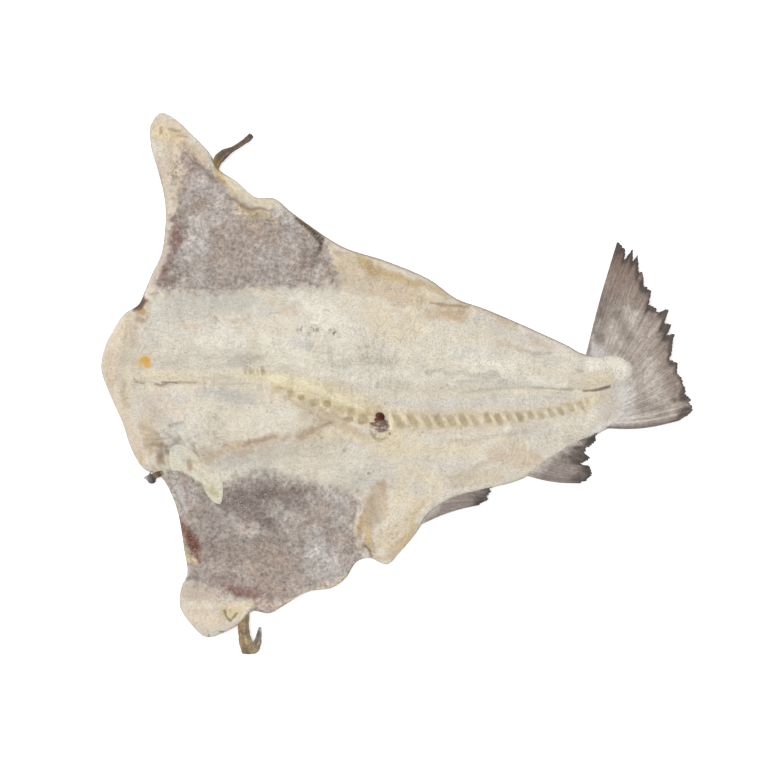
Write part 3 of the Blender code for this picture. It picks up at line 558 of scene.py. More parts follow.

# Stains on the flesh, and some painted light and shade: colour, strength, and the crest points (x, y, half
# width) that each one follows.
STAINS_LIGHT_AND_SHADE = [
    # Broad differences between one part of the fillet and another, partly painted light and shade: paler
    # along the loins' crests and the band above the backbone, greyer on the upper loin's upper slope and the
    # lower loin's upper side.
    (GREY_CREAM, 0.7, [(-236, 56, 18), (-190, 60, 18)]),
    (COOL, 0.9, [(-236, 82, 12), (-190, 84, 11), (-140, 86, 8)]),
    (GREY_CREAM, 0.8, [(-232, 74, 16), (-190, 76, 16), (-150, 82, 12)]),
    (PALE, 0.7, [(-196, 42, 12), (-160, 44, 12)]),
    (COOL, 0.8, [(-250, -16, 12), (-215, -14, 10)]),
    (COOL, 0.9, [(-196, -8, 10), (-146, -14, 10)]),
    (COOL, 0.7, [(-150, 70, 12), (-128, 72, 10)]),
    (PALE, 0.9, [(-130, 40, 18), (-100, 34, 22), (-86, 50, 18)]),
    (PALE, 0.9, [(-112, 92, 9), (-80, 78, 18), (-54, 42, 18), (-66, 34, 14)]),
    (PALE, 0.9, [(60, 32, 14), (84, 26, 20), (112, 16, 14)]),
    (PALE, 0.6, [(-132, 24, 10), (-90, 26, 13), (-66, 20, 11)]),
    (PALE, 0.6, [(-84, -14, 8), (-66, -22, 8)]),
    (PALE, 0.5, [(-116, -26, 12), (-92, -34, 9)]),
    # Paler along the band between the upper loin and the backbone: partly painted light, against the shade
    # of the slit and grooves beside it.
    (PALE, 0.9, [(-100, 22, 14), (-60, 8, 12), (-10, 12, 14), (30, 12, 13), (100, 4, 13), (168, 2, 8)]),
    (COOL, 0.8, [(-236, -60, 12), (-222, -44, 12)]),
    (GREY_CREAM, 0.9, [(-196, -70, 12), (-170, -80, 14), (-134, -78, 14)]),
    (PINK_TAN, 0.4, [(-250, -40, 14), (-246, -14, 14), (-224, -26, 12)]),
    (WARM, 0.8, [(-88, -52, 10), (-56, -54, 12)]),
    (ASH, 0.2, [(-238, 76, 20), (-190, 80, 20), (-150, 88, 12)]),
    (ASH, 0.15, [(-270, 62, 13), (-262, 10, 12), (-252, -44, 13), (-256, -70, 8)]),
    (ASH, 0.3, [(-178, -80, 15), (-146, -68, 15), (-84, -62, 16), (-36, -54, 12)]),
    (ASH, 0.2, [(-242, -30, 10), (-232, -38, 9)]),
    (ASH, 0.15, [(70, -36, 9), (124, -40, 9)]),
    (COOL, 0.9, [(-6, -20, 8), (60, -19, 9), (130, -15, 9), (174, -12, 6)]),
    (COOL, 0.5, [(96, -52, 9), (150, -46, 9)]),
    (DRAB, 0.35, [(56, -60, 4), (86, -55, 5), (112, -50, 4), (150, -42, 4)]),
    (DRAB, 0.35, [(56, -94, 4), (80, -85, 6), (106, -74, 5), (130, -66, 4)]),
    (ASH, 0.4, [(122, 37, 4.4), (138, 33, 4), (156, 33, 3.4)]),
    (GREY_CREAM, 0.8, [(60, 2, 5), (100, 3, 6), (150, -2, 5)]),
    (ASH, 0.4, [(28, 13, 3.3), (56, 12, 4), (80, 11, 4), (104, 9, 4)]),
    (ASH, 0.35, [(66, -8, 2.2), (110, -3, 2.8), (146, -3, 2.2)]),
    (GREY_CREAM, 0.9, [(136, 26, 7), (160, 24, 7)]),
    (BUFF, 0.9, [(-52, -46, 12), (-26, -56, 12), (0, -58, 10)]),
    (WARM, 0.8, [(-14, -70, 10), (20, -66, 14), (80, -66, 10)]),
    (WARM, 0.7, [(8, -88, 13), (44, -98, 12)]),
    (BUFF, 0.6, [(104, -58, 10), (128, -60, 10)]),
    (PINK_TAN, 0.8, [(96, -72, 12), (120, -74, 15), (142, -72, 11)]),
    (HEAD_TAN, 0.8, [(116, -76, 12), (130, -72, 10)]),
    (TAN, 0.5, [(60, -98, 11), (104, -92, 11)]),
    (BUFF, 0.6, [(20, -120, 10), (40, -112, 8)]),
    (PALE, 0.5, [(-70, -92, 14), (-40, -82, 12)]),
    (COOL, 0.6, [(-40, -100, 8), (-20, -100, 7)]),
    (WARM, 0.7, [(-20, 70, 26), (10, 50, 18), (20, 84, 22)]),
    (TAN, 0.6, [(-56, 122, 12), (-40, 112, 14), (-10, 98, 14), (30, 84, 12), (70, 76, 9)]),
    (TAN, 0.5, [(-58, 104, 10), (-30, 96, 10), (0, 86, 9)]),
    (COOL, 0.5, [(60, 34, 12), (100, 32, 14)]),
    (GREY_CREAM, 0.7, [(84, 68, 9), (110, 58, 9), (150, 42, 7)]),
    (GREY_CREAM, 0.9, [(208, -22, 12), (222, -20, 12), (216, -34, 9)]),
    (FROSTED, 0.8, [(236, -6, 4), (235, -20, 4), (228, -34, 5), (214, -41, 5), (196, -46, 5)]),
    (FROSTED, 0.8, [(236, 16, 7), (231, 24, 6)]),
    (PALE, 1.0, [(196, 22, 9), (214, 21, 10), (230, 20, 8)]),
    (BUFF, 0.9, [(196, 8, 8), (214, 8, 7)]),
    (YELLOW_TAN, 0.3, [(192, -2, 8), (216, 2, 8)]),
    (DRAB, 0.3, [(204, -12, 11), (216, -8, 9), (216, -30, 10)]),
    # The head end and its fold.
    (HEAD_TAN, 0.9, [(-272, 66, 12), (-286, 42, 16), (-291, 10, 17), (-278, -34, 16), (-262, -66, 13),
                     (-256, -78, 8)]),
    (BUFF, 0.4, [(-274, 40, 10), (-272, 6, 9), (-276, -20, 9)]),
    (PINK_TAN, 0.6, [(-292, 30, 7), (-290, 4, 7)]),
    (TAN, 0.6, [(-271, 70, 4), (-275, 52, 4)]),
    (OLIVE, 0.25, [(-276, 2, 3), (-278, -12, 3.5), (-272, -22, 3)]),
    (TAN, 0.8, [(-256, -40, 8), (-251, -54, 8), (-252, -68, 7)]),
    (YELLOW_OLIVE, 0.6, [(-259, -72, 4), (-260, -78, 3)]),
    (TAN, 0.4, [(-246, -88, 7), (-238, -96, 5)]),
    (AMBER, 0.9, [(-256, 24, 9)]),
    (ORANGE, 1.0, [(-256, 27, 6.4)]),
    (ORANGE, 0.8, [(-254, 21, 4.4)]),
    (GREY_CREAM, 1.0, [(-246, 84, 12), (-244, 66, 12), (-252, 46, 10)]),
    (PINK_TAN, 0.6, [(-266, 58, 9), (-265, 44, 8)]),
    (DRAB, 0.9, [(-262, 68, 6), (-256, 66, 5)]),
    (YELLOW_OLIVE, 0.5, [(-254, 84, 6), (-253, 72, 6)]),
    (OCHRE, 1.0, [(-263, 76, 5), (-258, 76, 6.6)]),
    (NOTCH_BROWN, 1.0, [(-267, 78, 4.4), (-260, 81, 6), (-256, 86, 5)]),
    (DARK_BROWN, 0.9, [(-266, 79.5, 3.1), (-261, 82.5, 3.6), (-258, 88, 3.1)]),
    (GREY_CREAM, 0.9, [(-242, -50, 8), (-226, -50, 9)]),
    (DRAB, 0.6, [(-246, -48, 8), (-240, -62, 9), (-236, -66, 8), (-240, -78, 8)]),
    (DRAB, 0.4, [(-254, -52, 5), (-252, -70, 6)]),
    (BROWN, 0.6, [(-248, -60, 3), (-240, -60, 3.4), (-232, -62, 3)]),
    (BROWN, 0.6, [(-244, -68, 4), (-240, -78, 4.4)]),
    (DARK_BROWN, 0.6, [(-234, -62, 3.4), (-232, -68, 3.4)]),
    (DARK_BROWN, 0.35, [(-241, -70, 3), (-237, -79, 2.6)]),
    (DARK_BROWN, 0.3, [(-246, -55, 1.8), (-230, -53.5, 1.8)]),
    (BROWN, 0.25, [(-247, -84, 3), (-239, -90, 3), (-237, -97, 2.6)]),
    (DARK_BROWN, 0.45, [(-239, -58, 3.3), (-237.5, -72, 3.4)]),
    (BROWN, 0.4, [(-233, -49, 2.4), (-222, -58, 2.4), (-214, -66, 2)]),
    (ASH, 0.5, [(-228, -60, 5), (-218, -54, 5), (-212, -60, 4)]),
    (ASH, 0.6, [(-226, -61, 2.4), (-217, -53, 3.0), (-211, -60, 2.6)]),
    (ASH, 0.6, [(-230, -41, 2.8), (-216, -38, 2.6)]),
    (PALE, 0.9, [(-219, -48, 3.4), (-212, -60, 3)]),
    (PALE, 0.9, [(-208, -50, 3.4), (-200, -68, 3)]),
    # A painted shadow line beside the second fold.
    (BROWN, 0.45, [(-207, -60, 3), (-203, -72, 3)]),
    (TAN, 0.7, [(-194, -76, 7), (-184, -70, 7)]),
    # The slit along the middle, and its lip.
    (OLIVE, 0.5, [(-266, 3.5, 1.5), (-257, 2, 1.9)]),
    (BROWN, 0.8, [(-246, 1, 1.4), (-240, -0.2, 2.2), (-234, 1.5, 1.6)]),
    (OLIVE, 0.8, [(-238, 3, 1.6), (-224, 2, 1.6)]),
    (OLIVE, 0.5, [(-224, 2.5, 1.6), (-204, 2, 1.5)]),
    (TAN, 0.6, [(-204, 2, 1.8), (-182, 1, 1.8), (-150, 2, 1.6)]),
    (BUFF, 0.5, [(-250, 10, 9), (-180, 9, 8), (-140, 12, 7)]),
    (BUFF, 0.6, [(-262, 10, 6), (-240, 10, 7), (-216, 9, 4)]),
    # The backbone.
    (BONE_PALE, 0.6, [(-162, 10, 6), (-140, 9, 9)]),
    (BONE_PALE, 0.9, [(-134, 9, 7), (-122, 6, 9), (-105, 2, 14), (-75, -8, 15), (-50, -18, 12),
                      (-26, -28, 9)]),
    (BONE, 0.9, [(-125, 0, 5), (-104, -8, 8), (-75, -19, 9), (-48, -28, 10), (-24, -36, 9)]),
    (DRAB, 0.4, [(-96, -32, 8), (-70, -38, 10), (-36, -50, 10)]),
    (TAN, 0.7, [(-112, -14, 4), (-75, -31, 6), (-44, -43, 6)]),
    (BUFF, 0.8, [(-70, 2, 11), (-42, -12, 10), (-16, -26, 10)]),
    (BUFF, 0.8, [(-6, -52, 14)]),
    (YELLOW_OLIVE, 0.45, [(-30, -28, 7), (-20, -25, 6)]),
    (OLIVE, 0.5, [(-27, -46, 1.6), (-24, -52, 2), (-18, -55.5, 2.4), (-11, -53, 2)]),
    (DARK_BROWN, 0.9, [(-7.5, -49.5, 2.2)]),
    # Dried blood along the seam below it.
    (DRAB, 0.4, [(-198, -67, 8), (-165, -66, 10), (-140, -59, 9), (-112, -53, 8), (-90, -49, 8),
                 (-70, -39, 6)]),
    (PINK_TAN, 0.5, [(-184, -66, 6), (-162, -65, 7), (-140, -58, 7), (-118, -54, 6)]),
    (BROWN, 0.4, [(-176, -62, 3.6), (-172, -61, 3.4)]),
    (YELLOW_OLIVE, 0.6, [(-167, -64, 3.6), (-161, -62, 4)]),
    (BROWN, 0.5, [(-156, -60, 3.4), (-151, -58, 3.4)]),
    (RED_BROWN, 0.4, [(-144, -57, 3.6), (-133, -54, 4)]),
    (BROWN, 0.4, [(-128, -53, 3.4), (-121, -52, 3.4)]),
    (BROWN, 0.3, [(-113, -55, 4), (-108, -53, 3.4)]),
    (RED_BROWN, 0.4, [(-97, -51, 3.6), (-87, -48, 4)]),
    (BROWN, 0.5, [(-85, -46, 2.6), (-67, -38, 2)]),
    (OLIVE, 0.35, [(-80, -50, 3), (-76, -53, 2.4)]),
    # Marks along the upper fillet.
    (PINK_TAN, 0.7, [(-212, 59, 6), (-204, 60, 5)]),
    (TAN, 0.7, [(-182, 66, 4)]),
    (TAN, 0.5, [(-166, 63, 4), (-154, 64, 4)]),
    (PINK_TAN, 0.5, [(-116, 73, 8), (-104, 73, 6)]),
    (ASH, 0.3, [(-99, 54, 5), (-92, 51, 5), (-84, 55, 5)]),
    (COOL, 0.9, [(-104, 44, 8), (-88, 40, 8)]),
    (ASH, 0.3, [(-65, 54, 4), (-60, 50, 4)]),
    (ASH, 0.35, [(-68, 34, 5), (-64, 20, 5)]),
    (ASH, 0.2, [(-36, 30, 7), (-24, 26, 7), (-8, 18, 7)]),
    (ASH, 0.35, [(-166, 22, 6), (-150, 28, 8), (-138, 28, 6)]),
    (TAN, 0.6, [(-60, 134, 7), (-36, 124, 9), (-20, 108, 10), (20, 100, 9)]),
    (YELLOW_OLIVE, 0.75, [(-38, 130, 8), (-26, 120, 11), (-8, 111, 7), (12, 106, 6), (34, 98, 6),
                          (50, 90, 5)]),
    (OCHRE, 0.4, [(-34, 126, 4), (-26, 118, 6), (-12, 112, 4), (10, 108, 3.4)]),
    (PINK_TAN, 1.0, [(-28, 132, 5), (-6, 124, 5), (24, 113, 5), (46, 101, 5)]),
    (TAN, 0.5, [(64, 84, 4), (88, 75, 4), (112, 66, 4)]),
    (PINK_TAN, 0.7, [(-20, 98, 9), (10, 92, 8)]),
    (TAN, 0.9, [(32, 72, 8), (50, 72, 10), (66, 70, 9)]),
    (OCHRE, 0.3, [(52, 71, 6), (64, 70, 5)]),
    (BROWN, 0.7, [(34, 83, 2.2), (52, 81, 2.4), (72, 79, 2.2)]),
    (TAN, 0.7, [(104, 66, 6), (118, 60, 5)]),
    (TAN, 0.5, [(104, 43, 5), (125, 35, 5)]),
    (PINK_TAN, 0.6, [(140, 44, 6), (160, 40, 5)]),
    # The seam at the tail.
    (ASH, 0.6, [(140, -2, 2.2), (178, -5, 2.2)]),
    (DARK_BROWN, 0.8, [(190, -6, 1.6), (200, -5.5, 1.8), (212, -3, 2.2), (222, 0, 1.8)]),
    # Grey-dark spots where the seam runs out onto the tail: painted shade in its groove.
    (ASH, 0.8, [(230, 2, 3), (242, 5, 4)]),
    (OLIVE, 0.35, [(182, 15, 2.4), (188, 14, 2.4)]),
]
LATE_STAINS_AND_SHADE = [
    (ASH, 0.3, [(-232, 92, 6), (-160, 94, 6)]),
    (ASH, 0.3, [(-98, 98, 6), (-64, 101, 9)]),
    (ASH, 0.4, [(-164, -94, 5), (-128, -91, 7), (-100, -96, 6)]),
    # Greyer on the lower loin's upper side: partly painted shade.
    (ASH, 0.2, [(-196, -8, 12), (-140, -14, 12)]),
    (CLOT_DARK, 0.7, [(-18, -33, 4), (-16, -36, 4)]),
    (CLOT_DARK, 0.8, [(-27, -38.5, 1.6), (-20, -38.5, 2.8)]),
    (CLOT_GREY, 0.8, [(-16, -43, 6), (-12, -46, 4)]),
    (PINK_TAN, 0.8, [(-22, -44, 3.4), (-18, -48, 3.4), (-11, -50, 3)]),
    (BONE_PALE, 0.9, [(-7, -30, 2.4), (-6.4, -44, 2.4)]),
    (BONE_PALE, 0.5, [(-19, -51, 3), (-13, -51, 3)]),
]

EDGE_STAINS = [
    (EDGE_GREY, 0.75, [(-40, 134, 40), (60, 88, 50), (160, 48, 50)]),
    (EDGE_GREY, 0.5, [(20, -150, 24), (30, -138, 20)]),
    (EDGE_GREY, 0.5, [(-110, 180, 30), (-70, 150, 30)]),
    (DARK_BROWN, 0.8, [(-262, 82, 9)]),
    (EDGE_GREY, 0.35, [(150, -80, 50)]),
]

LINING_STAINS_AND_SHADE = [
    (LINING_PALE, 0.9, [(-200, 140, 20), (-206, 166, 14)]),
    (LINING_PALE, 0.8, [(-214, 132, 9), (-212, 146, 8)]),
    (LINING_WARM, 0.8, [(-156, 158, 18), (-124, 150, 14)]),
    (LINING_PINK, 0.7, [(-140, 168, 9), (-120, 168, 9)]),
    (LINING_DARK, 0.2, [(-212, 106, 10), (-150, 106, 9)]),
    (LINING_PALE, 0.7, [(-186, 166, 11), (-180, 184, 9)]),
    (LINING_PALE, 0.5, [(-156, 150, 9)]),
    # Painted shadow cast on the lining by the thicker flesh beside it.
    (LINING_DARK, 0.6, [(-94, 132, 8), (-88, 122, 6)]),
    (LINING_PALE, 0.7, [(-76, 120, 7), (-84, 110, 7)]),
    (LINING_PALE, 1.0, [(-120, 172, 7), (-108, 166, 6)]),
    (LINING_PALE, 0.9, [(-218, 186, 12), (-206, 204, 13), (-188, 196, 12)]),
    (LINING_PINK, 0.8, [(-224, 178, 10), (-218, 200, 16), (-212, 226, 18), (-200, 222, 14)]),
    (ROSE_CREAM, 1.0, [(-228, 180, 9), (-226, 206, 12), (-224, 230, 13), (-218, 240, 11)]),
    (PURPLE, 0.5, [(-204, 232, 5), (-201, 222, 5)]),
    (PURPLE, 0.8, [(-227, 168, 5), (-223, 152, 11), (-229, 136, 8), (-236, 116, 6)]),
    (RED_BROWN, 0.6, [(-227, 160, 4), (-224, 148, 7)]),
    (PURPLE, 0.5, [(-238, 110, 8), (-228, 106, 8)]),
    (LINING_DARK, 0.8, [(-168, -113, 8), (-150, -110, 13), (-120, -108, 10), (-92, -108, 8)]),
    (LINING_DARK, 0.9, [(-152, -122, 10), (-134, -142, 12)]),
    (LINING_DARK, 0.8, [(-176, -118, 16), (-150, -124, 22)]),
    (LINING_DARK, 0.8, [(-112, -114, 12), (-98, -122, 12)]),
    (LINING_DARK, 0.5, [(-124, -140, 12), (-118, -160, 10)]),
    (LINING_DARK, 0.3, [(-200, -134, 12), (-180, -138, 14)]),
    (LINING_DARK, 0.5, [(-196, -164, 16), (-150, -166, 20), (-120, -172, 16)]),
    (LINING_PALE, 0.9, [(-70, -112, 13), (-54, -120, 11)]),
    (LINING_PALE, 1.0, [(-66, -190, 20), (-80, -166, 20)]),
    (LINING_WARM, 0.8, [(-136, -166, 20), (-108, -184, 18)]),
    (LINING_WARM, 0.8, [(-142, -192, 13), (-116, -206, 16)]),
    (LINING_PINK, 0.9, [(-104, -200, 14), (-76, -200, 12)]),
    (LINING_ROSE, 0.6, [(-192, -196, 9), (-168, -200, 10), (-148, -200, 12), (-132, -220, 12)]),
    (LINING_PALE, 0.9, [(-84, -150, 14), (-80, -190, 17)]),
    (LINING_PALE, 1.0, [(-228, -96, 9), (-221, -112, 9), (-217, -128, 6)]),
    (LINING_DARK, 0.3, [(-204, -100, 5), (-196, -112, 6)]),
    (LINING_PALE, 0.8, [(-208, -106, 8), (-204, -118, 8)]),
]
RIM_STAINS_LIGHT_AND_SHADE = [
    # The upper flap: its rim, its pale tip and the fold on its back edge.
    (ROSE_CREAM, 0.9, [(-246, 104, 5), (-238, 126, 4), (-236, 150, 4), (-236, 172, 5), (-237, 200, 6),
                       (-242, 232, 6)]),
    (WARM, 0.7, [(-236, 176, 4), (-236, 206, 4)]),
    (HEAD_TAN, 1.0, [(-240, 260, 16), (-222, 256, 15), (-226, 242, 12)]),
    (FLAP_TIP, 0.9, [(-238, 254, 14), (-224, 250, 12)]),
    (OLIVE, 0.6, [(-238, 260, 2.2), (-238, 254, 2.4)]),
    (OLIVE, 0.5, [(-230, 258, 2.2), (-220, 256, 2.2)]),
    (OLIVE, 0.4, [(-222, 252, 2.2), (-214, 251, 2.2)]),
    (PINK_TAN, 1.0, [(-218, 242, 8), (-206, 238, 8), (-196, 228, 7)]),
    (GREY_CREAM, 0.7, [(-196, 240, 4), (-188, 232, 3)]),
    (HEAD_TAN, 0.9, [(-228, 226, 13), (-225, 202, 11), (-225, 180, 8)]),
    (YELLOW_OLIVE, 0.9, [(-184, 220, 4), (-182, 214, 5), (-176, 207, 4), (-168, 203, 3)]),
    (OLIVE, 0.6, [(-184, 224, 2.6), (-179, 217, 2.2), (-170, 211, 1.6)]),
    (BUFF, 0.9, [(-170, 202, 5), (-158, 192, 6), (-146, 186, 6), (-132, 186, 5), (-122, 182, 5)]),
    (TAN, 0.7, [(-162, 178, 6), (-148, 171, 9), (-134, 169, 9), (-126, 164, 6)]),
    (YELLOW_TAN, 0.6, [(-162, 183, 4), (-148, 175, 4.4), (-136, 176, 4)]),
    # A painted shadow line under the fold, along the groove there.
    (BROWN, 0.8, [(-172, 193, 1.6), (-160, 184, 2.2), (-149, 178, 2.6), (-138, 179, 2.2),
                  (-129, 176, 1.6)]),
    (PINK_TAN, 0.6, [(-150, 164, 5), (-142, 160, 4)]),
    (GREY_CREAM, 0.9, [(-122, 180, 6), (-111, 173, 6), (-104, 169, 3.4)]),
    (OLIVE, 0.3, [(-118, 170, 4), (-114, 174, 4)]),
    # The dark wedge where skin shows behind the fold; the olive line inside it is a painted highlight, and
    # the lining-dark mark below it is painted shadow cast by the thicker flesh.
    (DARK_BROWN, 1.0, [(-102, 169, 2.6), (-90, 160, 4.6), (-78, 149, 6.4)]),
    (DARK_BROWN, 1.0, [(-77, 146, 5.6), (-79, 135, 5)]),
    (LINING_DARK, 0.9, [(-82, 134, 6), (-86, 122, 5)]),
    (OLIVE, 0.5, [(-94, 161, 1.8), (-82, 150, 2)]),
    (BUFF, 0.7, [(-69, 141, 3), (-62, 124, 4)]),
    (DRAB, 0.35, [(-60, 124, 6), (-56, 108, 7)]),
    # The lower flap: its bloodstain, its pale lobe and the torn edge of the lining.
    (RED_BROWN, 0.9, [(-223, -136, 3), (-217, -146, 5), (-209, -158, 7), (-204, -170, 6), (-201, -180, 3)]),
    (RED, 0.8, [(-211, -153, 5), (-205, -164, 5)]),
    (YELLOW_TAN, 0.8, [(-219, -160, 4), (-213, -172, 5), (-205, -182, 5)]),
    (DARK_BROWN, 0.5, [(-213, -143, 5), (-209, -150, 5)]),
    (RED, 0.7, [(-206, -156, 5), (-202, -166, 5)]),
    (YELLOW_TAN, 0.9, [(-219, -157, 4.4), (-213, -168, 5)]),
    (ROSE_CREAM, 0.9, [(-212, -208, 11), (-196, -212, 12), (-184, -216, 8)]),
    (HEAD_TAN, 0.9, [(-206, -230, 13), (-190, -238, 14), (-168, -234, 12)]),
    (PURPLE, 0.8, [(-172, -206, 7), (-158, -210, 10), (-144, -212, 9)]),
    (RED_BROWN, 0.5, [(-162, -212, 6), (-144, -214, 5)]),
    (ROSE_CREAM, 0.9, [(-138, -221, 7), (-128, -226, 7)]),
    (DARK_BROWN, 0.6, [(-142, -213, 2.4)]),
    (BUFF, 1.0, [(-174, -227, 8), (-160, -226, 7), (-147, -222.5, 4.4)]),
    (YELLOW_TAN, 0.5, [(-176, -230, 7), (-160, -230, 6)]),
    (OLIVE, 0.95, [(-175, -228, 1.8), (-172, -234, 2.0), (-168, -238.5, 1.8)]),
    (OLIVE, 0.9, [(-168, -238, 1.6), (-162, -231, 1.6)]),
    (DARK_BROWN, 0.9, [(-190, -252, 1.6), (-190, -255, 1.4)]),
    (DARK_BROWN, 0.8, [(-179, -249.5, 1.5), (-176, -249.5, 1.3)]),
    (ROSE_CREAM, 0.8, [(-132, -227, 6), (-106, -217, 5), (-84, -206, 5), (-62, -202, 5)]),
    (WARM, 0.8, [(-112, -220, 2.4), (-88, -209, 3), (-66, -205, 3), (-54, -194, 3)]),
    # The nub of belly wall.
    (DRAB, 1.0, [(-32, -144, 13), (-22, -122, 15), (-15, -104, 10)]),
    (NUB_CREAM, 0.95, [(-12, -158, 20), (6, -148, 16), (18, -124, 10)]),
    (ASH, 0.4, [(-20, -116, 9), (-18, -134, 9)]),
    (DRAB, 0.8, [(-32, -160, 9), (-26, -168, 8)]),
    (PINK_TAN, 0.7, [(-18, -108, 8), (-14, -130, 8)]),
    (WARM, 0.7, [(0, -118, 8), (6, -100, 8)]),
    (TAN, 0.8, [(4, -158, 5), (11, -150, 4), (-4, -166, 5)]),
    (YELLOW_TAN, 0.5, [(14, -146, 3), (18, -132, 4), (28, -118, 4)]),
    (OCHRE, 0.9, [(-39, -154, 4), (-39, -144, 5), (-36, -135, 4)]),
    (YELLOW_TAN, 0.9, [(-31, -160, 5), (-31, -146, 6)]),
    (YELLOW_TAN, 0.7, [(2, -166, 5), (12, -154, 5), (20, -142, 4)]),
    (TAN, 0.8, [(-30, -170, 5), (-14, -177, 4), (0, -170, 5)]),
    (DARK_BROWN, 0.8, [(-34, -162, 1.6), (-29, -167, 2.2), (-26, -174, 2.0)]),
]


THIN_MARK = 3.2  # a mark with a smaller half width than this is a thin one
STAIN_CORE = 1.35  # the larger, the more of a stain is solid
STAIN_RAGGED = 0.75  # the larger, the more broken its border
STAIN_SPREAD = 0.2  # the larger, the further its border reaches
FLESH_TONE = -0.038  # all of the flesh is a little darker than its colours
LINING_TONE = -0.025  # and the lining a little more

# The band of flesh over the backbone of the tail.
TAIL_BAND = [(-4, -37, 16, 1), (60, -36, 15, 1), (140, -30, 12, 1), (206, -14, 8, 1)]

# The skin side, from the head end to the tail: a run of x, and the value at each of them. The lateral line's
# place is a share of the half width.
BACK_LINE = ([-300, -60, 240], [2, 0, -6])
SKIN_HALF_WIDTH = ([-300, -230, -60, 240], [150, 210, 140, 36])
LATERAL_LINE = ([-300, -150, 0, 240], [0.42, 0.40, 0.30, 0.12])
LATERAL_HALF_WIDTH = 3.0


def linear(colour):
    """A linear colour from one as seen in 0 to 255."""
    share = np.asarray(colour, float) / 255
    return np.where(share <= 0.04045, share / 12.92, ((share + 0.055) / 1.055) ** 2.4) / EXPOSURE


def evenly(colour, count):
    """The same colour for this many points."""
    return np.tile(linear(colour), (count, 1))


def patches(xy):
    """Unevenness from 0 to 1 that breaks up the borders of stains."""
    mixed = 0.5 * noise(xy, 9, 43, 2) + 0.5 * noise(xy, 4, 44, 2)
    return np.clip(0.5 + 0.9 * mixed, 0, 1)


def stain(tint, plan, colour, strength, rows):
    """Paints one ragged mark over the points' colours; most are stains, some are painted light and shade. A
    thin mark wanders less than a broad one.
    """
    thin = min(row[2] for row in rows) < THIN_MARK
    xy = plan.steady if thin else plan.warped
    least = 0.5 if thin else 0.25
    solid = np.sqrt(ridge(xy, [(*row, 1.0) for row in rows]))
    cover = smooth_step(STAIN_CORE * solid - STAIN_RAGGED * plan.patchy + STAIN_SPREAD)
    return blend(tint, colour, strength * (np.where(solid > 0, cover, 0) * (least + (1 - least) * solid)))


def painted(tint, plan, stains):
    """The colours under these marks, stains and painted light and shade, each painted over the last."""
    for colour, strength, rows in stains:
        tint = stain(tint, plan, colour, strength, rows)
    return tint


def blend(tint, colour, cover):
    """The colours with this one over them, as far as it covers each point."""
    cover = np.clip(cover, 0, 1)[:, None]
    return tint * (1 - cover) + linear(colour) * cover


def flesh_colours(plan):
    """Colour of each point of the flesh side."""
    tint = evenly(CREAM, len(plan.xy))
    tint = blend(tint, GREY_CREAM, 0.45 * clouds(plan.xy, 30, 51, 3, 1.6, 0.3))
    tint = blend(tint, WARM, 0.35 * clouds(plan.xy, 44, 52, 3, 1.6, 0.3))
    tint = painted(tint, plan, STAINS_LIGHT_AND_SHADE)
    band = np.sqrt(ridge(plan.warped, TAIL_BAND))
    tint = blend(tint, BAND, 0.9 * band * (1 - 0.5 * smooth_step((plan.warped[:, 0] - 40) / 120)))
    tint = blend(tint, BONE_PALE, 0.5 * band * plan.ribs)
    tint = blend(tint, CELL, 0.85 * smooth_step(plan.cells * 1.3) * (0.65 + 0.35 * plan.patchy))
    tint = blend(tint, CELL_DARK, 0.6 * smooth_step((plan.cells - 0.45) * 2.0) * plan.patchy)
    tint = painted(tint, plan, LATE_STAINS_AND_SHADE)
    cover = plan.lining[:, None]
    tint = painted(tint * (1 - cover) + lining_colours(plan) * cover, plan, RIM_STAINS_LIGHT_AND_SHADE)
    rim = smooth_step((2.4 - plan.inward) / 1.8)
    for colour, strength, rows in EDGE_STAINS:
        tint = blend(tint, colour, strength * (rim * ridge(plan.xy, [(*row, 1.0) for row in rows]) ** 0.25))
    return tint * (1 + mottle(plan))[:, None]


def lining_colours(plan):
    """Colour that each point has where it is covered by the belly lining."""
    tint = evenly(LINING, len(plan.xy))
    tint = blend(tint, LINING_WARM, 0.6 * clouds(plan.xy, 30, 61, 3, 1.5, 0.4))
    tint = blend(tint, LINING_PALE, 0.6 * clouds(plan.xy, 22, 62, 3, 1.8, 0.2))
    return painted(tint, plan, LINING_STAINS_AND_SHADE)


def roughness_of(plan):
    """How strongly each point shows the grain of the flesh: calm in places, flaky in others."""
    return np.clip(0.1 + 0.9 * clouds(plan.xy, 27, 63, 2, 2.2, 0.35) + plan.lining, 0, 1)


def flecks_of(plan):
    """How thickly each point is set with small dark cracks."""
    cover = np.clip(noise(plan.xy, 21, 64, 2) * 2.2 - 0.8, 0, 0.5)
    for patch in CRACKED:
        cover = np.maximum(cover, ridge(plan.warped, [patch]))
    return cover * (1 - plan.lining)


def mottle(plan):
    """Share by which each point is paler or darker than its colour."""
    broad = 0.05 * noise(plan.xy, 34, 53, 2) + 0.06 * noise(plan.warped, (11, 21), 54, 2)
    close = 0.07 * roughness_of(plan) * noise(plan.warped, (5.5, 11), 55, 2)
    crease = np.clip(1 - np.abs(noise(plan.warped, (15, 9), 56, 2)) / 0.09, 0, 1)
    crease *= clouds(plan.xy, 40, 57, 2, 2, 0.5)
    lined = plan.lining * (0.10 * noise(plan.xy, 22, 58, 3) + 0.12 * noise(plan.warped, 8, 59, 2))
    return broad + close + lined - 0.08 * crease + FLESH_TONE + LINING_TONE * plan.lining


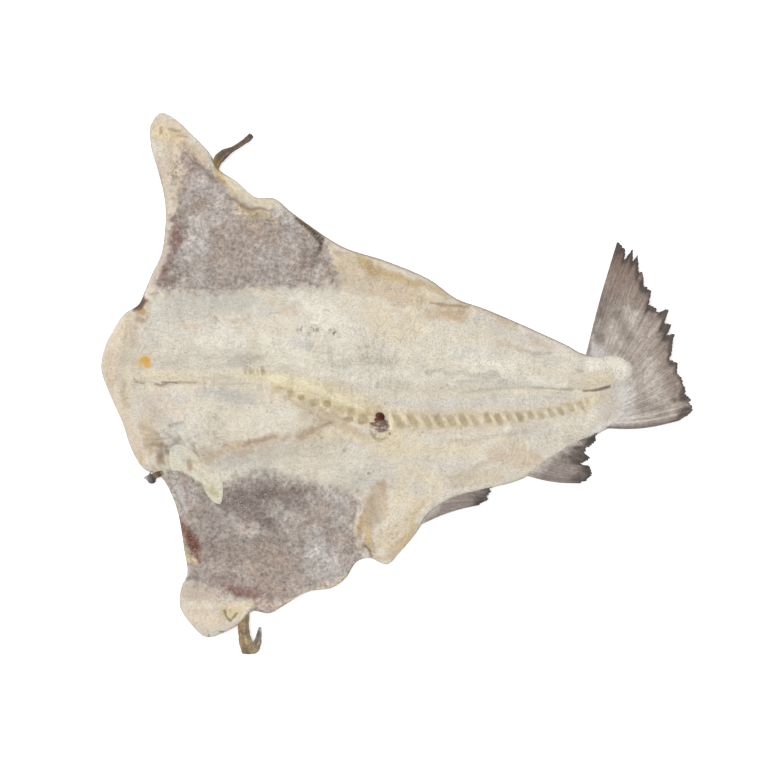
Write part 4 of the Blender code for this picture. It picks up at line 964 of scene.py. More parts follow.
def skin_colours(plan):
    """Colour of the skin side: dark on the back, pale at the belly, mottled, with a lateral line."""
    xy = plan.warped
    half = np.interp(xy[:, 0], *SKIN_HALF_WIDTH)
    share = np.abs(xy[:, 1] - np.interp(xy[:, 0], *BACK_LINE)) / half
    tint = blend(evenly(SKIN_BACK, len(xy)), SKIN_SIDE, smooth_step(share / 0.5))
    tint = blend(tint, SKIN_BELLY, smooth_step((share - 0.45) / 0.4))
    spots = smooth_step((noise(plan.xy, 9, 71, 2) - 0.05) * 3.0) * (1 - smooth_step((share - 0.35) / 0.35))
    tint = blend(tint, SKIN_SPOT, 0.75 * spots)
    off_line = np.abs(share - np.interp(xy[:, 0], *LATERAL_LINE)) * half / LATERAL_HALF_WIDTH
    return blend(tint, SKIN_LINE, 0.8 * np.clip(1 - off_line, 0, 1))


# Materials.


class Shader:
    """One Principled material, built node by node."""

    def __init__(self, name, roughness, specular=0.35):
        self.material = bpy.data.materials.new(name)
        self.material.use_nodes = True
        self.tree = self.material.node_tree
        self.surface = self.tree.nodes["Principled BSDF"]
        self.surface.inputs["Roughness"].default_value = roughness
        self.surface.inputs["Specular IOR Level"].default_value = specular

    def feed(self, socket, value):
        """Gives a socket its value: a number, a colour or another node's output."""
        if isinstance(value, bpy.types.NodeSocket):
            self.tree.links.new(value, socket)
        else:
            socket.default_value = value

    def add(self, kind, **values):
        """A node with its settings and inputs, where From_Min means the input named From Min."""
        node = self.tree.nodes.new(kind)
        for key, value in values.items():
            if hasattr(node, key):
                setattr(node, key, value)
            else:
                self.feed(node.inputs[key.replace("_", " ")], value)
        return node

    def field(self, name):
        """A point attribute as a number."""
        return self.add("ShaderNodeAttribute", attribute_name=name).outputs["Fac"]

    def tint(self):
        """The colour painted on the points."""
        return self.add("ShaderNodeAttribute", attribute_name="tint").outputs["Color"]

    def place(self, stretch=(1, 1, 1)):
        """Object coordinates in metres, stretched."""
        coordinates = self.add("ShaderNodeTexCoord").outputs["Object"]
        return self.add("ShaderNodeMapping", Scale=stretch, Vector=coordinates).outputs["Vector"]

    def grain(self, vector, size_mm, low, high, detail=3.0, roughness=0.6):
        """Noise whose lumps are this size across, spread over low to high."""
        texture = self.add(
            "ShaderNodeTexNoise", Scale=1 / (size_mm * MM), Detail=detail, Roughness=roughness, Vector=vector
        )
        return self.spread(texture.outputs["Fac"], 0.28, 0.72, low, high)

    def spread(self, value, from_low, from_high, low, high):
        """The value moved from one range to another, and kept inside it."""
        ranges = {"From_Min": from_low, "From_Max": from_high, "To_Min": low, "To_Max": high}
        return self.add("ShaderNodeMapRange", **ranges, Value=value).outputs["Result"]

    def math(self, operation, first, *others):
        """The operation, carried out from left to right."""
        for other in others:
            node = self.add("ShaderNodeMath", operation=operation)
            self.feed(node.inputs[0], first)
            self.feed(node.inputs[1], other)
            first = node.outputs["Value"]
        return first

    def between(self, share, a, b):
        """a where share is 0, b where it is 1."""
        node = self.add("ShaderNodeMix", data_type="FLOAT")
        for place, value in ((0, share), (2, a), (3, b)):
            self.feed(node.inputs[place], value)
        return node.outputs[0]

    def tinted(self, colour, factor, mode="MULTIPLY", share=1.0):
        """The colour multiplied by, or mixed with, a number or a colour."""
        node = self.add("ShaderNodeMix", data_type="RGBA", blend_type=mode)
        for place, value in ((0, share), (6, colour), (7, factor)):
            self.feed(node.inputs[place], value)
        return node.outputs[2]

    def finish(self, colour, roughness=None, height=None, depth_mm=0.0):
        """The material, with this colour and, where given, a varying roughness and relief."""
        self.feed(self.surface.inputs["Base Color"], colour)
        if roughness is not None:
            self.feed(self.surface.inputs["Roughness"], roughness)
        if height is not None:
            bump = self.add("ShaderNodeBump", Strength=1.0, Distance=depth_mm * MM, Height=height)
            self.feed(self.surface.inputs["Normal"], bump.outputs["Normal"])
        return self.material


SALT_WHITE = (*linear((218, 214, 208)), 1.0)
CRACK_GREY = (*linear((132, 122, 98)), 1.0)

# Depth of the relief too fine for the mesh, and the width of a scale.
FLESH_RELIEF = 1.5
SKIN_RELIEF = 0.6
FIN_RELIEF = 0.35
SCALE_SIZE = 2.6


def flesh_material():
    """Dry salted flesh, with the speckled belly lining where its mask says."""
    shader = Shader("dry_flesh", 0.8)
    lining = shader.field("lining")
    place = shader.place()
    # Each grain is one layer: how large its lumps are, and the range of tones it gives.
    soft = shader.grain(place, 9.0, 0.95, 1.06, detail=4)
    flakes = shader.grain(shader.place((1, 0.42, 1)), 4.2, 0.90, 1.10)
    threads = shader.grain(shader.place((0.34, 1, 1)), 3.0, 0.95, 1.05, roughness=0.65)
    plain = shader.math("MULTIPLY", soft, threads, flakes)
    plain = shader.between(shader.field("rough"), shader.between(0.35, 1.0, plain), plain)
    cracks = shader.grain(shader.place((1, 0.7, 1)), 3.6, 0.0, 1.0, roughness=0.7)
    cracks = shader.math("MULTIPLY", shader.spread(cracks, 0.55, 0.85, 0.0, 0.75), shader.field("fleck"))
    speck = shader.grain(place, 3.6, 0.60, 1.40, detail=2, roughness=0.65)
    blotch = shader.grain(place, 11.0, 0.74, 1.26, detail=4, roughness=0.8)
    speckled = shader.math("MULTIPLY", speck, blotch)
    frost = shader.spread(shader.grain(place, 1.3, 0.0, 1.0, detail=2, roughness=0.5), 0.62, 0.9, 0.0, 0.8)
    salted = shader.math("MULTIPLY", frost, shader.grain(place, 24.0, 0.1, 1.0), shader.field("salt"))
    colour = shader.tinted(shader.tint(), shader.between(lining, plain, speckled))
    colour = shader.tinted(colour, CRACK_GREY, "MIX", cracks)
    colour = shader.tinted(colour, SALT_WHITE, "MIX", salted)
    height = shader.math("ADD", shader.between(lining, plain, speck), shader.math("MULTIPLY", frost, 0.4))
    height = shader.math("SUBTRACT", height, shader.math("MULTIPLY", cracks, 0.3))
    shader.surface.inputs["Subsurface Weight"].default_value = 0.08
    shader.surface.inputs["Subsurface Radius"].default_value = (0.004, 0.0025, 0.0015)
    shader.surface.inputs["Subsurface Scale"].default_value = 1.0
    return shader.finish(colour, shader.grain(place, 6.0, 0.68, 0.92), height, FLESH_RELIEF)


def skin_material():
    """Dry scaly skin."""
    shader = Shader("dry_skin", 0.62)
    place = shader.place()
    mottled = shader.grain(place, 8.0, 0.82, 1.16, detail=5, roughness=0.65)
    fine = shader.grain(place, 1.4, 0.9, 1.1)
    lengthened = shader.place((0.7, 1, 1))
    scales = shader.add("ShaderNodeTexVoronoi", Scale=1 / (SCALE_SIZE * MM), Vector=lengthened)
    rims = shader.spread(scales.outputs["Distance"], 0.0, 0.7, 1.06, 0.84)
    colour = shader.tinted(shader.tinted(shader.tint(), shader.math("MULTIPLY", mottled, fine)), rims)
    roughness = shader.grain(place, 5.0, 0.5, 0.8)
    return shader.finish(colour, roughness, shader.math("ADD", rims, fine), SKIN_RELIEF)


def fin_material():
    """Dry fin rays: streaks run along each ray."""
    shader = Shader("dry_fin", 0.6)
    run = shader.add("ShaderNodeCombineXYZ", X=shader.field("across"), Y=shader.field("along"))
    stretch = shader.add("ShaderNodeMapping", Scale=(0.9, 15.0, 1.0), Vector=run.outputs["Vector"])
    streak = shader.add(
        "ShaderNodeTexNoise", Scale=1.0, Detail=4.0, Roughness=0.65, Vector=stretch.outputs["Vector"]
    )
    streaks = shader.spread(streak.outputs["Fac"], 0.3, 0.7, 0.74, 1.24)
    place = shader.place()
    fine = shader.grain(place, 2.6, 0.80, 1.20)
    colour = shader.tinted(shader.tint(), shader.math("MULTIPLY", streaks, fine))
    roughness = shader.grain(place, 4.0, 0.48, 0.76)
    return shader.finish(colour, roughness, shader.math("ADD", streaks, fine), FIN_RELIEF)


def salt_material():
    """Cloudy white crystals."""
    shader = Shader("salt", 0.35, 0.5)
    white = shader.add("ShaderNodeRGB").outputs[0]
    white.default_value = SALT_WHITE
    return shader.finish(shader.tinted(white, shader.grain(shader.place(), 1.2, 0.86, 1.0)))


# Meshes.


def hex_grid(step, low, high):
    """Rows of points one step apart, every other row moved half a step."""
    rows = np.arange(low[1], high[1], step * math.sqrt(3) / 2)
    made = []
    for i, y in enumerate(rows):
        x = np.arange(low[0] + (i % 2) * step / 2, high[0], step)
        made.append(np.stack([x, np.full(len(x), y)], axis=1))
    return np.vstack(made)


def triangles_over(outline, inner):
    """Points and triangles, anticlockwise from above, that fill the outline through the inner points."""
    points = [Vector(p) for p in np.vstack([outline, inner])]
    count = len(outline)
    loop = [(i, (i + 1) % count) for i in range(count)]
    made, _, faces, *_ = delaunay_2d_cdt(points, loop, [], 1, 1e-5)
    made = np.array([tuple(p) for p in made])
    faces = np.array(faces)
    a, b, c = (made[faces[:, k]] for k in range(3))
    area = (b[:, 0] - a[:, 0]) * (c[:, 1] - a[:, 1]) - (b[:, 1] - a[:, 1]) * (c[:, 0] - a[:, 0])
    faces[area < 0] = faces[area < 0][:, ::-1]
    return made, faces


def add_piece(name, points, faces, material, **fields):
    """One visible piece from points in millimetres, riding on the fish, with its point attributes."""
    mesh = bpy.data.meshes.new(name)
    mesh.from_pydata((np.asarray(points, float) * MM).tolist(), [], [tuple(map(int, f)) for f in faces])
    mesh.materials.append(material)
    for key, values in fields.items():
        values = np.asarray(values, float)
        if values.ndim == 2:
            layer = mesh.attributes.new(key, "FLOAT_COLOR", "POINT")
            layer.data.foreach_set("color", np.column_stack([values, np.ones(len(values))]).ravel())
        else:
            mesh.attributes.new(key, "FLOAT", "POINT").data.foreach_set("value", values)
    mesh.shade_smooth()
    mesh.update()
    piece = bpy.data.objects.new(name, mesh)
    bpy.context.scene.collection.objects.link(piece)
    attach(piece, BODY)
    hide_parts(NODE)
    return piece


def sheet_piece(name, outline, top, top_z, under, under_z, material, top_fields, under_fields):
    """A closed sheet. The points of both its sides begin with the outline, where they meet."""
    (top_plan, top_faces), (under_plan, under_faces) = top, under
    count = len(outline)
    points = np.vstack([np.column_stack([top_plan, top_z]), np.column_stack([under_plan, under_z])[count:]])
    moved = np.where(under_faces < count, under_faces, under_faces + len(top_plan) - count)[:, ::-1]
    fields = {key: np.concatenate([top_fields[key], under_fields[key][count:]]) for key in top_fields}
    return add_piece(name, points, np.vstack([top_faces, moved]), material, **fields)


def bare(count, **shares):
    """What the flesh material asks for where there is no lining: 0, apart from the shares given."""
    return {key: np.full(count, shares.get(key, 0.0)) for key in ("lining", "salt", "rough", "fleck")}


def near(xy, crests, room):
    """Whether each point is within this room of the crests' own width."""
    close = np.zeros(len(xy), bool)
    for crest in crests:
        close |= ridge(xy, [(row[0], row[1], row[2] + room, 1.0) for row in crest]) > 0
    return close


# The mesh is finer over the slit and the backbone, over the tail's vertebrae and over its seam.
FINE_ZONES = [
    [(-264, 2, 10), (-130, 4, 12), (-108, -4, 16), (-60, -28, 18), (-16, -42, 14)],
    [(-6, -36, 12), (60, -36, 12), (140, -30, 11), (206, -14, 9)],
    [(150, -4, 6), (205, -4, 7), (236, 0, 8)],
]


def make_body(outline):
    """The flesh and, under it, the skin: two closed sheets that share the outline."""
    low, high = outline.min(axis=0), outline.max(axis=0)

    def grid(step, room):
        points = hex_grid(step, low, high)
        return points[edge_distance(points, outline) > room]

    coarse, fine = grid(TOP_STEP, 0.55 * TOP_STEP), grid(FINE_STEP, 2.0)
    coarse = coarse[~near(coarse, FINE_ZONES, 0.0)]
    fine = fine[near(fine, FINE_ZONES, -0.8)]
    top = triangles_over(outline, np.vstack([coarse, fine]))
    inner, under = (triangles_over(outline, grid(step, 0.5 * step)) for step in (INNER_STEP, UNDER_STEP))
    plan, inner_plan, under_plan = (Plan(points, outline) for points, _ in (top, inner, under))
    fields = {
        "tint": flesh_colours(plan),
        "lining": plan.lining,
        "salt": np.clip(0.35 + 0.55 * plan.lining + 0.3 * noise(plan.xy, 40, 81, 2), 0, 1),
        "rough": roughness_of(plan),
        "fleck": flecks_of(plan),
    }
    hidden = {"tint": evenly(CREAM, len(inner_plan.xy)), **bare(len(inner_plan.xy))}
    skin_roof = inner_plan.under() + SKIN_THICK * rounded(inner_plan.inward)
    flesh_floor = skin_roof - SKIN_OVERLAP * rounded(inner_plan.inward)
    sheet_piece("cod_flesh", outline, top, plan.top(), inner, flesh_floor, flesh_material(), fields, hidden)
    sheet_piece(
        "cod_skin", outline, inner, skin_roof, under, under_plan.under(), skin_material(),
        {"tint": skin_colours(inner_plan)}, {"tint": skin_colours(under_plan)},
    )
    return plan


# Fins: their colours, and the shades along each folded one from its root.
FIN_DARK = (98, 86, 78)
FIN_TOP = (108, 86, 76)
FIN_BROWN = (130, 111, 99)
FIN_MID = (168, 156, 146)
FIN_LIGHT = (196, 186, 174)
FIN_FROST = (206, 200, 195)
FIN_BLACK = (66, 58, 54)
FIN_LAST_RAY = (112, 94, 88)
ANAL_MID = (142, 131, 123)
ANAL_FROST = (190, 182, 174)
ANAL_DARK = (84, 73, 68)
ANAL_LAST_RAY = (100, 90, 84)
PELVIC_UPPER_SHADES = [(170, 150, 104), (126, 106, 66), (92, 78, 64), (98, 82, 70), (110, 92, 76),
                       (82, 73, 68)]
PELVIC_LOWER_SHADES = [(150, 120, 84), (138, 108, 74), (146, 118, 86), (140, 118, 88), (112, 98, 78)]
PELVIC_LOWER_FAR_SHADES = [(176, 160, 118), (150, 138, 104), (134, 122, 96), (166, 152, 118),
                           (120, 108, 84)]
PELVIC_HOOK_SHADES = [(120, 104, 78), (146, 130, 98), (134, 124, 110), (116, 108, 106), (170, 162, 156)]
PECTORAL_SHADES = [(160, 140, 104), (70, 64, 38), (128, 108, 90), (52, 46, 46), (120, 112, 110),
                   (196, 192, 188)]
RAY_PROFILE = (0.35, 0.8, 1.0, 0.8)  # thickness across a ray, from the skin beside it
RAY_TONE = (1.0, 0.10)  # mean and spread of how pale one ray is beside the next
RIM_WORN = [(278, 12, 11, 1), (285, -8, 11, 1)]  # where the tail fin's dark rim is narrow
TAIL_SHADED = [
    [(206, 46, 9, 1), (211, 72, 11, 1)],
    [(224, 72, 9, 1), (234, 48, 11, 1)],
    [(254, -22, 10, 0.8), (268, -26, 11, 0.8)],
]


def ray_sheet(name, row, steps, across, material, seed, turned_over=False):
    """A closed sheet of rays, laid row by row from its root: all of its upper side, then all of its lower.

    row(part, side) gives the points and colours of the row this part of the way along. across says which ray
    each point of a row is on.
    """
    parts = [(step / steps, side) for side in (1, -1) for step in range(steps + 1)]
    points, tints = zip(*(row(*part) for part in parts))
    columns = len(across)
    layer = columns * (steps + 1)
    grid = np.arange(layer).reshape(steps + 1, columns)
    quads = np.stack([grid[:-1, :-1], grid[1:, :-1], grid[1:, 1:], grid[:-1, 1:]], axis=-1).reshape(-1, 4)
    border = np.concatenate([grid[0, :], grid[1:, -1], grid[-1, -2::-1], grid[-2:0:-1, 0]])
    after = np.roll(border, -1)
    wall = np.stack([border, after, after + layer, border + layer], axis=1)
    faces = np.vstack([quads, quads[:, ::-1] + layer, wall])
    return add_piece(
        name, np.vstack(points), faces[:, ::-1] if turned_over else faces, material,
        tint=np.vstack(tints), across=np.tile(across, len(parts)),
        along=np.repeat([part for part, _ in parts], columns) + seed,
    )


def make_fan(name, fin, steps, material, paint, seed):
    """A fan of rays, each a low rounded bar with thin skin beside it, and a torn margin."""
    rng = np.random.default_rng(seed)
    rays, fray = fin["rays"], fin["fray"]
    columns = rays * len(RAY_PROFILE) + 1

    def by_ray(values):
        return np.repeat(values, len(RAY_PROFILE))[:columns]

    shares = np.linspace(0, 1, columns)
    start = along(smooth_curve(fin["root"], OUTLINE_STEP), shares)
    end = along(np.array(fin["margin"], float), shares)
    profile = np.tile(RAY_PROFILE, rays + 1)[:columns]
    torn = np.clip(by_ray(rng.gamma(1.0, 0.5 * fray, rays + 1)), 0, 2 * fray)
    torn += (1 - profile) * rng.uniform(0.4, 1.2, columns) * fray
    torn[[0, -1]] = 0
    run = end - start
    length = np.linalg.norm(run, axis=1)
    outward = np.stack([-run[:, 1], run[:, 0]], axis=1) / length[:, None]
    bow = fin["bulge"][0] * (1 - shares) - fin["bulge"][1] * shares
    ray_tone = by_ray(np.clip(rng.normal(*RAY_TONE, rays + 1), 0.65, 1.35))

    def row(part, side):
        share = part * (1 - torn / length)
        xy = start + run * share[:, None] + outward * (bow * np.sin(math.pi * share))[:, None]
        thick = between((FIN_ROOT_THICK, FIN_TIP_THICK), share) * (0.45 + 0.55 * profile)
        wave = 0.6 * share * noise(xy, 26, 91, 2)
        middle = total_height(xy, LIFTS) + FIN_GAP + FIN_ROOT_THICK / 2 + wave
        # Each ray's own tone, times painted shade that darkens the thin skin between the rays.
        tone = (1 + (ray_tone - 1) * min(1, 4 * part)) * (0.8 + 0.22 * profile)
        tint = paint(xy, share * length, (1 - share) * length, shares) * tone[:, None]
        return np.column_stack([xy, middle + side * thick / 2]), tint

    ray_sheet(name, row, steps, shares * rays, material, seed)


def paint_tail(xy, from_root, to_margin, across):
    """Pale and frosted at the root, browner toward the top, dark along its three free edges."""
    y = xy[:, 1]
    frosted_to = 5 + 11 * smooth_step((50 - y) / 40)
    frost = 1 - smooth_step((from_root - frosted_to) / 26) + 0.5 * noise(xy, 11, 94, 2)
    tint = blend(evenly(FIN_MID, len(xy)), FIN_FROST, 0.85 * smooth_step(frost))
    tint = blend(tint, FIN_LIGHT, 0.5 * clouds(xy, 20, 96, 2, 2.4))
    tint = blend(tint, FIN_DARK, 0.4 * clouds(xy, 17, 90, 2, 2.6, -0.2) * smooth_step((y - 10) / 30))
    tint = blend(tint, FIN_BROWN, 0.9 * smooth_step((y - 66) / 50))
    tint = blend(tint, FIN_TOP, 0.9 * smooth_step((y - 110) / 22))
    tint = blend(tint, FIN_BROWN, 0.6 * smooth_step((30 - to_margin + 12 * noise(xy, 16, 99, 2)) / 24))
    rim = 14 - 9 * ridge(xy, RIM_WORN) - to_margin + 11 * noise(xy, 10, 88, 2)
    tint = blend(tint, FIN_BLACK, 0.85 * smooth_step(rim / 9))
    tint = blend(tint, FIN_DARK, 0.5 * sum(ridge(xy, crest) for crest in TAIL_SHADED))
    front = 0.05 * (1 + 0.9 * noise(xy, 12, 89, 2)) * smooth_step((112 - y) / 30) - across
    tint = blend(tint, FIN_DARK, 0.6 * smooth_step(front / 0.035) * smooth_step(from_root / 12))
    return blend(tint, FIN_LAST_RAY, 0.8 * smooth_step((across - 0.93) / 0.06))


def paint_anal(xy, from_root, to_margin, across):
    """Frosted where it leaves the flesh, then brown, and nearly black at the torn end."""
    frost = smooth_step((18 - from_root) / 14 + 0.4 * noise(xy, 8, 97, 2))
    dark = smooth_step((27 - to_margin + 16 * noise(xy, (14, 4), 93, 2)) / 30)
    black = smooth_step((9 - to_margin + 7 * noise(xy, 6, 98, 2)) / 8)
    tint = blend(evenly(ANAL_MID, len(xy)), ANAL_FROST, 0.8 * frost)
    tint = blend(blend(tint, ANAL_DARK, 0.95 * dark), FIN_BLACK, 0.9 * black)
    return blend(tint, ANAL_LAST_RAY, 0.3 * smooth_step((across - 0.9) / 0.08))


def shades_along(shades, count):
    """This many colours spread evenly over a run of shades."""
    places = np.linspace(0, 1, len(shades))
    return np.stack([np.interp(np.linspace(0, 1, count), places, part) for part in linear(shades).T], axis=1)


def make_strip(name, rows, material, shades, seed, far_shades=None, bundle=7, fray=0.1):
    """A narrow folded fin: rays bundled into a rough strip, swept along its centre line and shaded along it.

    The far shades, where given, are those of its left side.
    """
    rng = np.random.default_rng(seed)
    line = smooth_curve(rows, STRIP_STEP)
    count = len(line)
    run = np.gradient(line[:, :2], axis=0)
    side = np.stack([-run[:, 1], run[:, 0]], axis=1) / np.linalg.norm(run, axis=1)[:, None]
    angles = np.arange(STRIP_SIDES) * 2 * math.pi / STRIP_SIDES
    lengthwise = np.column_stack([np.arange(count) * STRIP_STEP, np.zeros(count)])
    frayed = 1 + fray * noise(lengthwise, 3.0, seed, 2)
    tones = rng.uniform(0.62, 1.36, 2 * bundle)
    ray_tone = np.interp(angles, np.linspace(0, 2 * math.pi, 2 * bundle), tones)[:, None]
    shade = shades_along(shades, count)
    far_shade = shades_along(far_shades or shades, count)
    left = smooth_step(0.5 + np.cos(angles))[:, None]
    points, tints = [], []
    for i, ((x, y, half_width, middle), out) in enumerate(zip(line, side)):
        ribbed = 1 - 0.22 * (0.5 + 0.5 * np.cos(bundle * angles + 0.6 * math.sin(i * STRIP_STEP / 6)))
        reach = half_width * frayed[i] * np.cos(angles) * ribbed
        height = middle + STRIP_THICK / 2 * np.sin(angles) * ribbed
        points.append(np.column_stack([x + out[0] * reach, y + out[1] * reach, height]))
        tints.append((shade[i] * (1 - left) + far_shade[i] * left) * ray_tone)
    here = np.arange(count * STRIP_SIDES).reshape(count, STRIP_SIDES)
    beside = np.roll(here, -1, axis=1)
    faces = np.stack([here[:-1], beside[:-1], beside[1:], here[1:]], axis=-1).reshape(-1, 4).tolist()
    for end, sign in ((0, -1), (-1, 1)):
        tip = line[end, :2] + run[end] / np.linalg.norm(run[end]) * sign * line[end, 2] * STRIP_TIP
        faces += [(STRIP_SIDES * count + (sign > 0), *pair[::sign]) for pair in zip(here[end], beside[end])]
        points.append([[*tip, line[end, 3]]])
        tints.append(shade[[end]])
    rings = np.append(np.repeat(np.arange(count), STRIP_SIDES), [0, count - 1])
    points = np.vstack(points)
    tone = 1 + 0.4 * noise(points[:, :2], 2.6, 95, 2) + 0.2 * noise(points[:, :2], 7, 96, 2)
    add_piece(
        name, points, faces, material, tint=np.vstack(tints) * tone[:, None],
        across=np.append(np.tile(np.abs(angles - math.pi) * 4, count), [0.0, 0.0]),
        along=rings * STRIP_STEP / STREAK_LENGTH + seed,
    )


# Membrane, clot and salt. The pale membrane lies over the front corner of the lower lining.
MEMBRANE = [(-230, -64), (-222, -60), (-214, -62), (-206, -68), (-200, -76), (-196, -85), (-188, -89),
            (-181, -89), (-178, -96), (-177, -107), (-178, -116), (-180, -121), (-185, -120), (-191, -115),
            (-196, -107), (-198, -100), (-203, -97), (-211, -92), (-219, -88), (-230, -86)]
MEMBRANE_THICK = 1.3
MEMBRANE_RIM = 0.35  # how far its very edge stands up
MEMBRANE_ROUND = 1.6  # over this width its thickness comes up from nothing
MEMBRANE_SUNK = 0.5
MEMBRANE_STEP = 1.25
MEMBRANE_PALE = (212, 206, 188)
MEMBRANE_STAINS = [
    ((206, 203, 190), 0.9, [(-226, -68, 7), (-219, -76, 7)]),
    ((216, 206, 184), 0.8, [(-206, -72, 5), (-200, -84, 6), (-192, -96, 7)]),
    ((180, 167, 142), 0.9, [(-211, -76, 4), (-210, -86, 4)]),
    ((200, 190, 146), 0.9, [(-189, -106, 5), (-185, -114, 5)]),
    ((220, 209, 188), 0.7, [(-197, -106, 2.5), (-188, -117, 2.5)]),
]


def surface_height(place, plan, top):
    """Height of the flesh side at a place, from the nearest of its points."""
    return top[np.hypot(plan.xy[:, 0] - place[0], plan.xy[:, 1] - place[1]).argmin()]


def make_membrane(outline, material):
    """A thin pale sheet lying on the flesh, its edge a little raised."""
    loop = smooth_curve(MEMBRANE, 1.2, closed=True)
    inner = hex_grid(MEMBRANE_STEP, loop.min(axis=0), loop.max(axis=0))
    plan_xy, faces = triangles_over(loop, inner[edge_distance(inner, loop) > 0.7])
    plan = Plan(plan_xy, outline)
    flesh = plan.top()
    inward = np.clip(edge_distance(plan_xy, loop) / MEMBRANE_ROUND, 0, 1)
    ripple = 0.35 * noise(plan_xy, 7, 101, 2)
    body = (MEMBRANE_THICK - MEMBRANE_RIM + ripple) * np.sqrt(1 - (1 - inward) ** 2)
    top, low = flesh + MEMBRANE_RIM + body, flesh - MEMBRANE_SUNK
    tint = painted(evenly(MEMBRANE_PALE, len(plan_xy)), plan, MEMBRANE_STAINS)
    points = np.vstack([np.column_stack([plan_xy, top]), np.column_stack([plan_xy, low])])
    lower = len(plan_xy)
    border = np.arange(len(loop))
    after = np.roll(border, -1)
    wall = [(border, border + lower, after + lower), (border, after + lower, after)]
    faces = np.vstack([faces, faces[:, ::-1] + lower, *(np.stack(corners, axis=1) for corners in wall)])
    fields = bare(len(points), salt=0.25, rough=0.4)
    add_piece("belly_membrane", points, faces, material, tint=np.vstack([tint, tint]), **fields)


def lump(centre, radii, seed):
    """A closed lumpy ball: its points and faces."""
    rng = np.random.default_rng(seed)
    waves = rng.normal(0, 1, (9, 3)) * 2.4
    phases = rng.uniform(0, 2 * math.pi, 9)
    rings, sides = LUMP_RINGS, LUMP_SIDES
    points = []
    for i in range(rings + 1):
        polar = math.pi * i / rings
        for k in range(1 if i in (0, rings) else sides):
            turn = 2 * math.pi * k / sides
            level = math.sin(polar)
            out = np.array([level * math.cos(turn), level * math.sin(turn), math.cos(polar)])
            grow = 1 + LUMP_ROUGH * np.sin(waves @ out + phases).mean() * 2
            points.append(np.array(centre) + out * radii * grow)
    faces = [(0, 1 + k, 1 + (k + 1) % sides) for k in range(sides)]
    for first in range(1, 1 + (rings - 2) * sides, sides):
        for k in range(sides):
            a, b = first + k, first + (k + 1) % sides
            faces.append((a, a + sides, b + sides, b))
    last = 1 + (rings - 2) * sides
    faces += [(last + sides, last + (k + 1) % sides, last + k) for k in range(sides)]
    return np.array(points), faces


def join_meshes(parts):
    """One mesh's points and faces from those of several."""
    points, faces = [], []
    count = 0
    for part_points, part_faces in parts:
        points.append(part_points)
        faces += [tuple(i + count for i in face) for face in part_faces]
        count += len(part_points)
    return np.vstack(points), faces


# Centre and radii of each lump of the clot.
CLOTS = [((-17.5, -32.5), (5.4, 4.8, 3.2)), ((-17, -38), (7.6, 4.6, 2.8)), ((-15.5, -42.5),
         (8.4, 5.0, 2.4))]

CLOT_RISE = 2.0  # how far each lump's middle lies above the flesh
LUMP_RINGS = 14
LUMP_SIDES = 20
LUMP_ROUGH = 0.22


def make_clot(plan, top, material):
    """Dried blood in the cut end of the backbone, greyer and saltier downward."""
    parts = []
    for i, (centre, radii) in enumerate(CLOTS):
        parts.append(lump((*centre, surface_height(centre, plan, top) + CLOT_RISE), radii, 200 + i))
    points, faces = join_meshes(parts)
    count = len(points)
    down = smooth_step((-34.5 - points[:, 1]) / 4)[:, None]
    mixed = noise(points[:, :2], 1.5, 201, 2)
    body = blend(evenly(CLOT_GREY, count), CLOT_DARK, 0.7 * smooth_step(0.4 + 1.3 * mixed))
    body = blend(body, CLOT_PALE, 0.6 * smooth_step(-0.05 - 1.4 * mixed + (-41 - points[:, 1]) / 9))
    head = blend(evenly(CLOT, count), CLOT_RED, smooth_step((-16.4 - points[:, 0]) / 4))
    tint = head * (1 - down) + body * down
    add_piece("backbone_clot", points, faces, material, tint=tint, **bare(count, rough=1.0))


SALT_COUNT = 2000
SALT_SIZE = (0.25, 0.9)
SALT_INSET = 3.0  # no crystal lies nearer the edge
SALT_RISE = 0.22  # height of a crystal's middle above the flesh, as a share of its size
CUBE = np.array([(x, y, z) for z in (-0.5, 0.5) for y in (-0.5, 0.5) for x in (-0.5, 0.5)])
CUBE_FACES = [(0, 2, 3, 1), (4, 5, 7, 6), (0, 1, 5, 4), (1, 3, 7, 5), (3, 2, 6, 7), (2, 0, 4, 6)]


def make_salt(plan, top, material):
    """Coarse salt left on the flesh, thickest on the lining and in broad patches."""
    rng = np.random.default_rng(SEED)
    likely = (0.15 + 0.85 * plan.lining) * np.clip(0.5 + noise(plan.xy, 30, 111, 3) * 1.6, 0.02, 1.5)
    likely *= plan.inward > SALT_INSET
    chosen = rng.choice(len(likely), SALT_COUNT, replace=False, p=likely / likely.sum())
    parts = []
    for i in chosen:
        size = np.clip(rng.lognormal(-0.95, 0.35), *SALT_SIZE)
        turn = Vector(rng.normal(0, 1, 3)).to_track_quat("Z", "Y").to_matrix()
        cube = CUBE * size * rng.uniform(0.6, 1.0, 3) @ np.array(turn).T
        parts.append((cube + [*plan.xy[i], top[i] + SALT_RISE * size], CUBE_FACES))
    points, faces = join_meshes(parts)
    piece = add_piece("salt_crystals", points, faces, material)
    piece.data.shade_flat()


# Back fins: start, end and half width of each.
DORSAL_FINS = {
    "dorsal_fin_front": [(-205, 2), (-108, 1), 8.0],
    "dorsal_fin_middle": [(-92, 0), (18, -4), 9.0],
    "dorsal_fin_rear": [(34, -5), (122, -7), 8.0],
}
DORSAL_RAYS = 22
DORSAL_STEPS = 40
DORSAL_HEIGHT = (0.9, 0.25)  # of its middle above the ground, and how much more halfway along
DORSAL_HALF_THICK = 0.42
DORSAL_SKIN = 0.6  # thickness between two rays, as a share of a ray's


